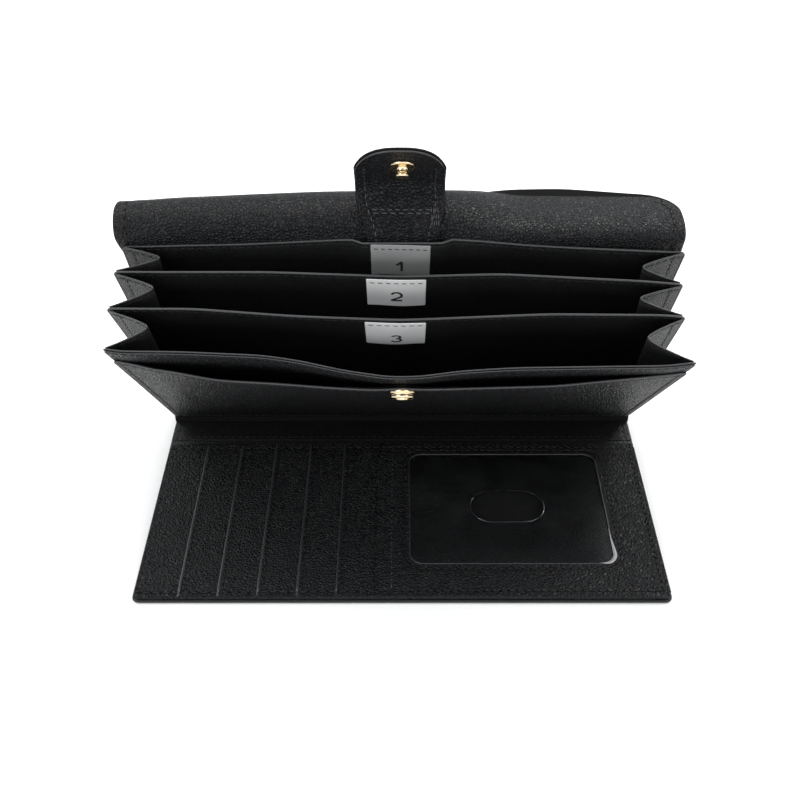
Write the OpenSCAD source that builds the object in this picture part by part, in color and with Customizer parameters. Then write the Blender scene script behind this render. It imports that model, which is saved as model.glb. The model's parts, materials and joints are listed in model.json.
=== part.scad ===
// Coupon organizer wallet, lying open: a flat cover with card pockets and an ID window,
// a spine, and a three-pocket accordion body that leans forward over the cover.
// The origin is the centre of the cover's underside. X runs along the wallet's long side,
// Y from the cover's near edge to the back, Z up.

/* [Wallet] */
// Length of the wallet along its folds
wallet_w = 205; // [195:1:220]
// Depth of the cover, from its near edge to the fold
cover_len = 91.2; // [88:0.2:96]
// Width of the spine between the two folds
spine_w = 27.8; // [26:0.2:32]
// Thickness of the outer leather
shell_t = 1.2; // [1:0.1:1.5]
// Radius of the outer corners
corner_r = 3; // [1:0.5:6]
// Free leather left at each fold, from its axis to the stiffened layers
fold_gap = 1.2; // [1.15:0.05:1.5]

/* [Card pockets] */
// Thickness of the leaf that the card pockets are sewn to
lining_t = 0.4; // [0.3:0.1:0.6]
// Distance from the left edge to the first pocket mouth
first_mouth = 17.2; // [14:0.2:20]
// Distance from one pocket mouth to the next
mouth_pitch = 15; // [12:0.5:16]
// Thickness of one card pocket
pocket_t = 0.25; // [0.2:0.05:0.35]
// How far the lining layers stand in from the shell's edge
layer_inset = 0.6; // [0.3:0.1:1.5]
// How far the lining layers stand back from the shell's edge at a fold
fold_inset = 0.9; // [0.8:0.1:1.5]

/* [ID window] */
// Thickness of the window panel
window_panel_t = 0.5; // [0.4:0.1:0.8]
// Width of the window opening
window_w = 79.5; // [70:0.5:82]
// Height of the window opening
window_h = 64.5; // [54:0.5:70]
// Leather between the window opening and the right edge
window_margin = 19.5; // [12:0.5:19.5]
// Leather between the window opening and the panel's fold edge
window_top = 8; // [6:0.5:12]
// Corner radius of the window opening
window_r = 5; // [2:0.5:8]
// Thickness of the clear window sheet
vinyl_t = 0.25; // [0.2:0.05:0.3]
// How far the clear sheet reaches under the panel on each side
vinyl_lap = 3; // [2:0.5:4]
// Length of the thumb slot in the clear sheet
thumb_slot_w = 30; // [20:1:34]
// Height of the thumb slot
thumb_slot_h = 18.5; // [10:0.5:20]

/* [Accordion] */
// Height of the dividers above their fold
panel_h = 111.5; // [100:0.5:116]
// Height of the front panel above its fold
front_h = 112; // [100:0.5:116]
// Thickness of a divider and of the inner back wall
panel_t = 1; // [0.8:0.1:1.1]
// Thickness of the front panel
front_t = 1.2; // [1:0.1:1.3]
// Spacing of the panels at the accordion's base
panel_step = 2.7; // [2.6:0.1:3]
// Lean of the back panel above the cover plane, in degrees
back_lean = 69.4; // [66:0.2:74]
// Fan angle between the back wall and the first divider
fan_1 = 5.8; // [4:0.2:8]
// Fan angle between the two dividers
fan_2 = 8; // [5:0.2:9]
// Fan angle between the second divider and the front panel
fan_3 = 10.6; // [6:0.2:11]
// Height of the panels' folds above the table
panel_fold_z = 5.6; // [5.2:0.1:7]
// Corner radius at the top of each panel
panel_r = 2.5; // [1:0.5:5]

/* [Gussets] */
// Thickness of the gusset leather
gusset_t = 0.4; // [0.3:0.05:0.45]
// How far each gusset folds inward at its top
gusset_depth = 16; // [12:0.5:20]
// How far each gusset's seam stands in from the panel's side edge
gusset_seam = 1.5; // [1:0.1:3]
// Clearance between a gusset leaf and its own panel
gusset_gap = 0.15; // [0.12:0.01:0.2]
// Clearance on each side of the open inner crease
crease_gap = 0.4; // [0.35:0.05:0.8]
// Height of the gussets' lower end above the panel's fold
gusset_foot = 4; // [3:0.5:8]
// Distance from a panel's top edge down to the gusset's upper end
gusset_drop = 1; // [0.5:0.1:3]

/* [Slip pocket and labels] */
// Height of the slip pocket's mouth above the front panel's fold
slip_h = 101; // [90:0.5:104]
// Thickness of the slip pocket panel
slip_t = 1; // [0.8:0.1:1.2]
// Room between the slip pocket and the front panel
slip_room = 0.8; // [0.7:0.1:1]
// How far the slip pocket's foot stands above the front panel's fold
slip_foot = 1; // [0.8:0.1:2]
// Width of the slip pocket's seam allowance
slip_seam = 3; // [2:0.5:5]
// Width of each pocket label
label_w = 20; // [14:0.5:26]
// Height of each pocket label
label_h = 16; // [10:0.5:20]
// Thickness of the label ribbon
label_t = 0.3; // [0.2:0.05:0.4]
// Distance from a panel's top edge down to its label
label_drop = 2.4; // [1:0.2:6]

/* [Flap and tab] */
// Length of the top flap beyond its fold
flap_len = 17; // [16.6:0.2:20]
// Thickness of the flap's inner facing
facing_t = 0.5; // [0.4:0.1:0.8]
// Corner radius of the flap
flap_r = 12; // [6:0.5:14]
// How far the flap leans back from the back panel, in degrees
flap_lean = 58; // [20:1:70]
// Width of the closure tab
tab_w = 31; // [26:0.5:36]
// Thickness of the tab's outer leather
tab_t = 0.9; // [0.7:0.1:1]
// Thickness of the tab's inner facing
tab_facing_t = 0.7; // [0.5:0.1:0.8]
// Distance from the snap to the tab's tip
tab_tip = 17; // [14:0.5:22]
// Corner radius at the tab's tip
tab_r = 13; // [8:0.5:13]
// How far the tab's end bends forward from the flap, in degrees
tab_bend = 77; // [30:1:80]

/* [Snap] */
// Radius of the stud's flange and of the socket
snap_r = 4.7; // [4.2:0.1:5.2]
// Thickness of the stud's flange
stud_flange_t = 1.3; // [1:0.1:1.4]
// Radius of the stud's post
stud_post_r = 2.1; // [1.8:0.05:2.2]
// Length of the stud's post
stud_post_len = 3.2; // [2.8:0.1:3.4]
// Height of the socket above the slip pocket
socket_h = 3.3; // [3:0.1:4]
// Radial clearance between the stud's post and the socket's bore
snap_play = 0.25; // [0.15:0.05:0.3]
// Wall of the socket's eyelet
eyelet_wall = 0.45; // [0.4:0.05:0.5]
// Thickness of the eyelet's and the stud's hidden flanges
rivet_flange_t = 0.5; // [0.4:0.05:0.6]
// Radius of the cap on the tab's outer side
cap_r = 6.2; // [5.2:0.1:7.5]
// Height of the cap
cap_h = 1.6; // [1.4:0.1:2.5]
// Radius of the rivet shank that joins the cap to the stud
shank_r = 1.2; // [1:0.05:1.4]
// Distance from the slip pocket's mouth to the snap's centre
socket_drop = 5.5; // [5.2:0.1:9]

/* [Hidden] */
$fn = 64;
sides = ["left", "right"];
folds = ["rear", "front"];
card_pockets = 5;
pairs = 3;

// Least gap kept between pieces that move past each other
clear = 0.3;
// Gap between pieces that are sewn face to face
sewn = 0.02;
// Height of the cover's stack, and the plane that each layer starts at
pocket_z = shell_t + lining_t;
window_z = pocket_z + card_pockets * pocket_t;
// Fold axes: between cover and spine, and between spine and back
fold_z = shell_t / 2;
cover_fold_y = cover_len / 2 + fold_gap;
back_fold_y = cover_fold_y + spine_w;
// The accordion's base lies just above the spine's lining and just below the panels
base_z = pocket_z + clear;
base_top = panel_fold_z - front_t / 2 - clear;
// The inner wall is sewn to the inside of the back shell
wall_n = shell_t / 2 + sewn;
wall_mid = wall_n + panel_t / 2;
wall_up = (panel_fold_z - fold_z + wall_mid * cos(back_lean)) / sin(back_lean);
wall_y = back_fold_y - wall_up * cos(back_lean) - wall_mid * sin(back_lean);
// Panels are numbered from the inner wall, 0, to the front panel, 3
leans = [
    back_lean,
    back_lean - fan_1,
    back_lean - fan_1 - fan_2,
    back_lean - fan_1 - fan_2 - fan_3
];
thick = [panel_t, panel_t, panel_t, front_t];
function panel_y(k) = wall_y - (k > 0 ? panel_t / 2 : 0) - k * panel_step;
// Half the room between the seams of two neighbouring gusset leaves, at height p
function seam_off(k) = thick[k] / 2 + gusset_gap + gusset_t / 2;
function half_room(i, p) =
    (panel_y(i - 1) - panel_y(i)) * sin((leans[i - 1] + leans[i]) / 2) / 2
    - (seam_off(i - 1) + seam_off(i)) / 2
    + p * tan((leans[i - 1] - leans[i]) / 2);
gusset_top = panel_h - gusset_drop;
function gusset_angle(i) = atan(half_room(i, gusset_top) / gusset_depth);
function gusset_reach(i, p) = (half_room(i, p) - crease_gap) / sin(gusset_angle(i));
gusset_x = wallet_w / 2 - gusset_seam;
// When the wallet is closed the panels lie parallel to the back: depths from the back fold
closed_n = (back_fold_y - panel_y(3)) * sin(back_lean) - (panel_fold_z - fold_z) * cos(back_lean);
closed_up = (back_fold_y - panel_y(3)) * cos(back_lean) + (panel_fold_z - fold_z) * sin(back_lean);
slip_n = front_t / 2 + slip_room;
slip_face = slip_n + slip_t;
socket_up = slip_h - socket_drop;
// The tab lies against the flap's inner facing and bends down just outside the socket
tab_n = shell_t / 2 + facing_t + 2 * sewn;
tab_all = tab_t + tab_facing_t + sewn;
tab_mid = tab_n + tab_all / 2;
flap_fold_up = closed_up + front_h + clear + tab_n + tab_all;
tab_fold = closed_n + slip_face + socket_h + stud_flange_t + tab_all / 2 + sewn;
stud_up = flap_fold_up - tab_mid - closed_up - socket_up;
// The snap: its bore, the bead on the stud, the rolled rims and the eyelet inside the socket
bore_r = stud_post_r + snap_play;
stud_bead = 0.25;
snap_lip = 0.4;
mouth_flare = 0.55;
mouth_depth = 1.9;
eyelet_top = 1;
// The window
window_x = wallet_w / 2 - window_margin - window_w / 2;
window_y = cover_len / 2 - fold_inset - window_top - window_h / 2;
vinyl_fit = 0.03;
// Straight length left at each end of the thumb slot
slot_flat = 1;
// How far a cut runs past the faces that it opens
cut = 1;
function mouth_x(i) = -wallet_w / 2 + first_mouth + (i - 1) * mouth_pitch;

// Plain outlines

module round_rect(w, h, r) {
    square([w - 2 * r, h], center = true);
    square([w, h - 2 * r], center = true);
    for (x = [-1, 1], y = [-1, 1]) {
        translate([x * (w / 2 - r), y * (h / 2 - r)]) circle(r);
    }
}

// A rectangle that stands on the X axis, with round top corners
module round_top(w, h, r) {
    intersection() {
        translate([-w / 2, 0]) square([w, h]);
        union() {
            translate([-w / 2, -r]) square([w, h]);
            translate([-w / 2 + r, 0]) square([w - 2 * r, h]);
            for (x = [-1, 1]) {
                translate([x * (w / 2 - r), h - r]) circle(r);
            }
        }
    }
}

// Stands an outline up as a sheet of thickness t, from depth n towards the front
module sheet(t, n = 0) {
    translate([0, -n, 0]) rotate([90, 0, 0]) linear_extrude(t) children();
}

// Frames: each puts its children where the named body stands

module at_panel(k) {
    translate([0, panel_y(k), panel_fold_z]) rotate([90 - leans[k], 0, 0]) children();
}

module at_back() {
    translate([0, back_fold_y, fold_z]) rotate([90 - back_lean, 0, 0]) children();
}

module at_flap() {
    at_back() translate([0, 0, flap_fold_up]) rotate([-flap_lean, 0, 0]) children();
}

module at_tab() {
    at_flap() translate([0, -tab_mid, tab_fold]) rotate([tab_bend, 0, 0]) children();
}

// A round piece whose axis points to the front, starting at depth n
module forward(n) {
    translate([0, -n, 0]) rotate([90, 0, 0]) children();
}

// Cover

module cover_shell() {
    color("#1c1c1e") linear_extrude(shell_t) {
        round_rect(wallet_w, cover_len, corner_r);
    }
}

// A lining layer that covers the shell from x0 to the right edge
module cover_layer(z, t, x0) {
    layer_end = wallet_w / 2 - layer_inset;
    layer_len = cover_len - layer_inset - fold_inset;
    translate([0, 0, z]) linear_extrude(t) intersection() {
        translate([0, (layer_inset - fold_inset) / 2]) {
            round_rect(2 * layer_end, layer_len, corner_r);
        }
        translate([x0, -cover_len / 2]) square([layer_end - x0, cover_len]);
    }
}

module cover_lining() {
    color("#202022") cover_layer(shell_t, lining_t, -wallet_w / 2 + layer_inset);
}

module card_pocket(i) {
    color("#242426") cover_layer(pocket_z + (i - 1) * pocket_t, pocket_t, mouth_x(i));
}

module id_window_panel() {
    color("#202022") difference() {
        cover_layer(window_z, window_panel_t, mouth_x(card_pockets + 1));
        translate([window_x, window_y, window_z - cut]) {
            linear_extrude(window_panel_t + 2 * cut) round_rect(window_w, window_h, window_r);
            linear_extrude(vinyl_t + vinyl_fit + cut) round_rect(
                window_w + 2 * (vinyl_lap + vinyl_fit),
                window_h + 2 * (vinyl_lap + vinyl_fit),
                window_r
            );
        }
    }
}

module id_window_vinyl() {
    color([0.7, 0.72, 0.75, 0.4]) translate([window_x, window_y, window_z]) {
        linear_extrude(vinyl_t) difference() {
            round_rect(window_w + 2 * vinyl_lap, window_h + 2 * vinyl_lap, window_r);
            round_rect(thumb_slot_w, thumb_slot_h, (thumb_slot_h - slot_flat) / 2);
        }
    }
}

// Spine

module spine_layer(z, t, inset) {
    translate([-wallet_w / 2, cover_fold_y + inset, z]) {
        cube([wallet_w, spine_w - 2 * inset, t]);
    }
}

module spine_shell() {
    color("#1c1c1e") spine_layer(0, shell_t, fold_gap);
}

module spine_lining() {
    color("#222224") spine_layer(shell_t, lining_t, fold_gap + fold_inset);
}

// Back

module back_shell() {
    shell_h = flap_fold_up - 2 * fold_gap;
    color("#1c1c1e") at_back() translate([-wallet_w / 2, -shell_t / 2, fold_gap]) {
        cube([wallet_w, shell_t, shell_h]);
    }
}

module back_inner_wall() {
    wall_foot = (base_z - fold_z + (wall_n + panel_t) * cos(back_lean)) / sin(back_lean);
    wall_h = wall_up + panel_h - wall_foot;
    color("#262628") at_back() translate([0, 0, wall_foot]) sheet(panel_t, wall_n) {
        round_top(wallet_w, wall_h, panel_r);
    }
}

// The folded foot of the lining, which the panels are sewn to
module accordion_base() {
    // Depth along Y of the inner wall's front face, at height z
    function wall_face_y(z) =
        back_fold_y
        - (z - fold_z) / tan(back_lean)
        - (wall_n + panel_t + sewn) / sin(back_lean);
    front_y = panel_y(3) - front_t;
    color("#1a1a1c") translate([-wallet_w / 2, 0, 0]) rotate([90, 0, 90]) linear_extrude(wallet_w) {
        polygon([
            [front_y, base_z],
            [wall_face_y(base_z), base_z],
            [wall_face_y(base_top), base_top],
            [front_y, base_top]
        ]);
    }
}

// Accordion panels and labels

module divider(k) {
    color("#262628") at_panel(k) sheet(panel_t, -panel_t / 2) {
        round_top(wallet_w, panel_h, panel_r);
    }
}

module front_panel() {
    color("#1e1e20") at_panel(3) sheet(front_t, -front_t / 2) {
        round_top(wallet_w, front_h, panel_r);
    }
}

module slip_outline() {
    translate([0, slip_foot]) round_top(wallet_w, slip_h - slip_foot, panel_r);
}

module front_slip_pocket() {
    color("#202022") at_panel(3) {
        difference() {
            sheet(slip_t, slip_n) slip_outline();
            translate([0, 0, socket_up]) forward(slip_n - cut) cylinder(
                r = bore_r + eyelet_wall, h = slip_t + 2 * cut
            );
        }
        slip_seams();
    }
}

// Seam allowances that join the slip pocket to the front panel at its sides and foot
module slip_seams() {
    seam_n = front_t / 2 + sewn;
    sheet(slip_n - seam_n, seam_n) difference() {
        slip_outline();
        translate([-wallet_w / 2 + slip_seam, slip_foot + slip_seam]) {
            square([wallet_w - 2 * slip_seam, slip_h]);
        }
    }
}

module pocket_label(i) {
    k = i - 1;
    color("#d9dadb") at_panel(k) translate([0, 0, panel_h - label_drop - label_h]) {
        sheet(label_t, panel_t / 2 + sewn) translate([-label_w / 2, 0]) square([label_w, label_h]);
    }
}

// Gussets: each is two leaves that meet at an inner crease

module gusset_leaf(side, i, rear) {
    k = rear ? i - 1 : i;
    towards = rear ? 1 : -1;
    low = gusset_foot;
    high = gusset_top;
    angle = gusset_angle(i);
    color("#2a2a2c") at_panel(k) {
        translate([side * gusset_x, -towards * seam_off(k), 0]) {
            mirror([side > 0 ? 1 : 0, 0, 0]) rotate([0, 0, -towards * angle]) {
                sheet(gusset_t, -gusset_t / 2) polygon([
                    [0, low],
                    [gusset_reach(i, low), low],
                    [gusset_reach(i, high), high],
                    [0, high]
                ]);
            }
        }
    }
}

// Flap and tab

module flap_shell() {
    color("#1c1c1e") at_flap() translate([0, 0, fold_gap]) sheet(shell_t, -shell_t / 2) {
        round_top(wallet_w, flap_len - fold_gap, flap_r);
    }
}

module flap_facing() {
    color("#202022") at_flap() translate([0, 0, fold_gap]) sheet(facing_t, shell_t / 2 + sewn) {
        round_top(wallet_w - 2 * layer_inset, flap_len - fold_gap - layer_inset, flap_r);
    }
}

// The part of the tab that is sewn to the flap
module tab_base() {
    base_len = tab_fold - 2 * fold_gap - tab_all / 2;
    color("#1c1c1e") at_flap() translate([-tab_w / 2, -tab_n - tab_all, fold_gap]) {
        cube([tab_w, tab_all, base_len]);
    }
}

module tab_layer(t, n) {
    difference() {
        translate([0, 0, fold_gap]) sheet(t, n) {
            round_top(tab_w, stud_up + tab_tip - fold_gap, tab_r);
        }
        translate([0, 0, stud_up]) forward(n - cut) {
            cylinder(r = shank_r + sewn, h = t + 2 * cut);
        }
    }
}

module tab_outer() {
    color("#1c1c1e") at_tab() tab_layer(tab_t, -tab_all / 2);
}

module tab_facing() {
    color("#202022") at_tab() tab_layer(tab_facing_t, -tab_all / 2 + tab_t + sewn);
}

// Snap

module snap_stud() {
    neck_r = stud_post_r - stud_bead;
    color("#d8b56a") at_tab() translate([0, 0, stud_up]) forward(tab_all / 2 + sewn) {
        rotate_extrude() polygon([
            [0, 0],
            [snap_r, 0],
            [snap_r, stud_flange_t * 0.6],
            [neck_r + snap_lip, stud_flange_t],
            [neck_r, stud_flange_t],
            [neck_r, stud_flange_t + stud_post_len * 0.45],
            [stud_post_r, stud_flange_t + stud_post_len * 0.65],
            [stud_post_r, stud_flange_t + stud_post_len * 0.8],
            [stud_post_r - 2 * stud_bead, stud_flange_t + stud_post_len],
            [0, stud_flange_t + stud_post_len]
        ]);
    }
}

module snap_cap() {
    color("#d8b56a") at_tab() translate([0, 0, stud_up]) forward(-tab_all / 2 - sewn) {
        cylinder(r = shank_r, h = tab_all + 2 * sewn);
        rotate([180, 0, 0]) rotate_extrude() polygon([
            [0, 0],
            [cap_r, 0],
            [cap_r, snap_lip],
            [cap_r * 0.72, cap_h * 0.75],
            [cap_r * 0.4, cap_h * 0.95],
            [0, cap_h]
        ]);
    }
}

// A ring with a flared mouth, clamped on the slip pocket by the eyelet inside it
module snap_socket() {
    seat_r = bore_r + eyelet_wall + sewn;
    top = socket_h - sewn;
    color("#d8b56a") at_panel(3) translate([0, 0, socket_up]) forward(slip_face + sewn) {
        rotate_extrude() polygon([
            [seat_r, 0],
            [snap_r, 0],
            [snap_r, socket_h * 0.35],
            [snap_r - snap_lip, socket_h * 0.6],
            [snap_r - snap_lip, top - snap_lip],
            [snap_r - 2 * snap_lip, top],
            [bore_r + mouth_flare, top],
            [bore_r, top - mouth_depth],
            [bore_r, eyelet_top + 2 * sewn],
            [seat_r, eyelet_top + 2 * sewn]
        ]);
    }
}

module socket_eyelet() {
    flange_r = snap_r - snap_lip;
    tube_r = bore_r + eyelet_wall - sewn;
    floor_t = rivet_flange_t * 0.6;
    depth = rivet_flange_t + sewn;
    tube_h = depth + slip_t + eyelet_top;
    color("#c9a85f") at_panel(3) translate([0, 0, socket_up]) forward(slip_n - depth) {
        rotate_extrude() polygon([
            [0, 0],
            [flange_r, 0],
            [flange_r, rivet_flange_t],
            [tube_r, rivet_flange_t],
            [tube_r, tube_h],
            [bore_r, tube_h],
            [bore_r, floor_t],
            [0, floor_t]
        ]);
    }
}

cover_shell();
cover_lining();
for (i = [1:card_pockets]) {
    card_pocket(i);
}
id_window_panel();
id_window_vinyl();
spine_shell();
spine_lining();
back_shell();
back_inner_wall();
accordion_base();
divider(1);  // divider_1
divider(2);  // divider_2
front_panel();
front_slip_pocket();
snap_socket();
socket_eyelet();
for (i = [1:pairs]) {
    pocket_label(i);
}
flap_shell();
flap_facing();
tab_base();
tab_outer();
tab_facing();
snap_stud();
snap_cap();
for (s = [0, 1], i = [1:pairs], f = [0, 1]) {
    union() {
        gusset_leaf(s == 0 ? -1 : 1, i, f == 0);
    }
}
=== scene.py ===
"""Looks of the coupon organizer wallet. Works in millimetres and hands metres to Blender."""

import json
import math

import bpy
import numpy as np
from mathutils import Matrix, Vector


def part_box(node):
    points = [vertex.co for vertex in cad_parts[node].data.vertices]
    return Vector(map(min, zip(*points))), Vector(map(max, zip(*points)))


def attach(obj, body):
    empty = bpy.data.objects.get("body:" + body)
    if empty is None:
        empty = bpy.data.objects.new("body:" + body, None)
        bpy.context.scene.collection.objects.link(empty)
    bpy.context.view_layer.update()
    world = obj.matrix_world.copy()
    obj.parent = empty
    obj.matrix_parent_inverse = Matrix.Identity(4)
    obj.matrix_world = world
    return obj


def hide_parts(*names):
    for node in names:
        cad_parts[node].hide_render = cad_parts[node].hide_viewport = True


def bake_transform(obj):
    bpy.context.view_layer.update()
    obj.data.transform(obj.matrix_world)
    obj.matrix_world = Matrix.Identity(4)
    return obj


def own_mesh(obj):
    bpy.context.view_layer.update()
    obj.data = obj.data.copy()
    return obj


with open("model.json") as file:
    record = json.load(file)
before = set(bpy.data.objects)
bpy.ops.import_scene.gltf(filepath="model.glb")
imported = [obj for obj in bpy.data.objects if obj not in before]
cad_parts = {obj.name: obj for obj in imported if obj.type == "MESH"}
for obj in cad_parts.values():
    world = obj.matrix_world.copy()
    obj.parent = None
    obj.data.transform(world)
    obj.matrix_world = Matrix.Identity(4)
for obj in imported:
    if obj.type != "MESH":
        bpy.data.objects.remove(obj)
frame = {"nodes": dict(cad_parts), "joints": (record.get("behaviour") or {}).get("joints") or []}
RNG = np.random.default_rng(7)
JOINTS = {j["name"]: j for j in frame["joints"]}
UP = np.array([0.0, 0.0, 1.0])
EX = np.array([1.0, 0.0, 0.0])
SIDES = (-1, 1)


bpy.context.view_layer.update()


# Planes, read from the frame

def hinge(name):
    return np.array(JOINTS[name]["pos_m"], float) * 1000


def corners_of(node):
    return np.array([v.co for v in frame["nodes"][node].data.vertices], float).reshape(-1, 3) * 1000


def box_of(node):
    lo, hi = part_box(node)
    return np.array(lo) * 1000, np.array(hi) * 1000


class Plane:
    """A flat frame: u along X, v up the panel, n towards the front. Lean is measured from -Y, in degrees."""

    def __init__(self, origin, lean):
        a = math.radians(lean)
        self.o = np.array([0.0, origin[1], origin[2]])
        self.lean = lean
        self.v = np.array([0.0, -math.cos(a), math.sin(a)])
        self.n = np.array([0.0, -math.sin(a), -math.cos(a)])

    def at(self, u, v, n):
        u, v, n = np.broadcast_arrays(*[np.asarray(x, float) for x in (u, v, n)])
        return self.o + u[..., None] * EX + v[..., None] * self.v + n[..., None] * self.n

    def span(self, node):
        """Lowest and highest u, v and n of a CAD node."""
        co = corners_of(node) - self.o
        q = np.stack([co @ EX, co @ self.v, co @ self.n], 1)
        return q.min(0), q.max(0)


def lean_of(node):
    """Lean of a flat CAD node, from the direction that most of its area faces."""
    level = 1e-4
    sums = {}
    for face in frame["nodes"][node].data.polygons:
        n = np.array(face.normal)
        if n[1] > level or (abs(n[1]) <= level and n[2] > 0):
            n = -n
        sums.setdefault(tuple(np.round(n, 3)), [0.0, n])[0] += face.area
    n = max(sums.values(), key=lambda s: s[0])[1]
    return math.degrees(math.atan2(-n[1], -n[2])) % 180


def plane_of(joint, node):
    return Plane(hinge(joint), lean_of(node))


BACK = plane_of("back_fold", "back_shell")
FRONT = plane_of("front_fold", "front_panel")
PANEL = [BACK, plane_of("divider_1_fold", "divider_1"), plane_of("divider_2_fold", "divider_2"), FRONT]
FLAP = plane_of("flap_fold", "flap_shell")
TAB = plane_of("tab_fold", "tab_outer")
HALF = float(corners_of("back_shell")[:, 0].max())


# Grids. Gaps and edges go low u, high u, low v, high v.

EDGE = [0, 0.05, 0.16, 0.33, 0.55, 0.85, 1.2, 1.6, *(1.85 + 0.25 * i for i in range(9)), 4.8, 6.5, 9]
ALL_EDGES = (1, 1, 1, 1)
NO_FOOT = (1, 1, 0, 1)
SIDE_EDGES = (1, 1, 0, 0)


def lines(a, b, start=True, end=True, step=4.5, extra=(), edge=EDGE):
    """Grid positions from a to b, close together near the ends that are finished edges."""
    near = [x for x in edge if x < (b - a) * 0.48]
    lo, hi = near if start else [0], near if end else [0]
    mid0, mid1 = a + lo[-1], b - hi[-1]
    count = max(1, int(round((mid1 - mid0) / step)))
    got = [*(a + x for x in lo), *np.linspace(mid0, mid1, count + 1)[1:-1], *(b - x for x in reversed(hi))]
    for e in extra:
        got = [g for g in got if abs(g - e) > 0.12 or g in (a, b)] + [e]
    return np.array(sorted(set(round(g, 4) for g in got)))


def nearest(gaps, edges=ALL_EDGES):
    """Distance to the nearest of the finished edges."""
    return np.minimum.reduce([g for g, on in zip(gaps, edges) if on])


def grid(us, vs, radii=(0, 0, 0, 0), edges=ALL_EDGES):
    """u and v of each grid point with corners rounded, its gaps to the four sides and its nearest edge.
    Radii go low-left, low-right, top-right, top-left."""
    u, v = np.meshgrid(us, vs, indexing="ij")
    gaps = [u - us[0], us[-1] - u, v - vs[0], vs[-1] - v]
    uu, vv = u.copy(), v.copy()
    for r, su, sv in zip(radii, (-1, 1, 1, -1), (-1, -1, 1, 1)):
        if r <= 0:
            continue
        cu = us[0] + r if su < 0 else us[-1] - r
        cv = vs[0] + r if sv < 0 else vs[-1] - r
        a, b = (u - cu) * su / r, (v - cv) * sv / r
        inside = (a > 0) & (b > 0)
        k = np.where(inside, np.maximum(a, b) / np.maximum(np.hypot(a, b), 1e-9), 1)
        uu = np.where(inside, cu + su * a * k * r, uu)
        vv = np.where(inside, cv + sv * b * k * r, vv)
    return uu, vv, gaps, nearest(gaps, edges)


def smooth(x):
    x = np.clip(x, 0, 1)
    return x * x * (3 - 2 * x)


def hump(x, width):
    return np.exp(-(x / width) ** 2)


def valley(d, at, depth=0.16, width=0.42):
    """The groove that a row of stitches pulls into the leather."""
    return -depth * hump(d - at, width)


def edge_share(d, r):
    """Share of the full thickness at distance d from an edge that is rounded over r."""
    return np.sqrt(np.clip(1 - (1 - np.clip(d / r, 0, 1)) ** 2, 0.02, 1))


def unit(v):
    return v / (np.linalg.norm(v, axis=-1, keepdims=True) + 1e-12)


def normals(p):
    return unit(np.cross(np.gradient(p, axis=0), np.gradient(p, axis=1)))


def cell_mean(x):
    """Mean of the four corners of each face of a grid."""
    return (x[:-1, :-1] + x[1:, :-1] + x[1:, 1:] + x[:-1, 1:]).reshape(-1) / 4


def quads(idx, round_a=False, round_b=False, turned=False):
    """Faces of a grid of point numbers, which may close on itself in either direction."""
    if round_a:
        idx = np.concatenate([idx, idx[:1]])
    if round_b:
        idx = np.concatenate([idx, idx[:, :1]], 1)
    q = np.stack([idx[:-1, :-1], idx[1:, :-1], idx[1:, 1:], idx[:-1, 1:]], -1).reshape(-1, 4)
    return q[:, [0, 3, 2, 1]] if turned else q


def numbered(*shape):
    return np.arange(math.prod(shape)).reshape(shape)


def turn(count):
    """Angles once round."""
    return np.arange(count) / count * 2 * math.pi


# Building meshes

STITCH_AT = np.array([-0.5, -0.46, -0.36, -0.18, 0, 0.18, 0.36, 0.46, 0.5])
STITCH_GIRTH = np.array([0.12, 0.55, 0.86, 1, 1, 1, 0.86, 0.55, 0.12])
STITCH_DROP = np.array([-1.15, -0.75, -0.3, -0.04, 0, -0.04, -0.3, -0.75, -1.15])
STITCH_SIDES, STITCH_SUNK, STITCH_START = 8, 0.08, 0.4
STITCH_SKEW, STITCH_JITTER = 0.16, 0.05


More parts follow.
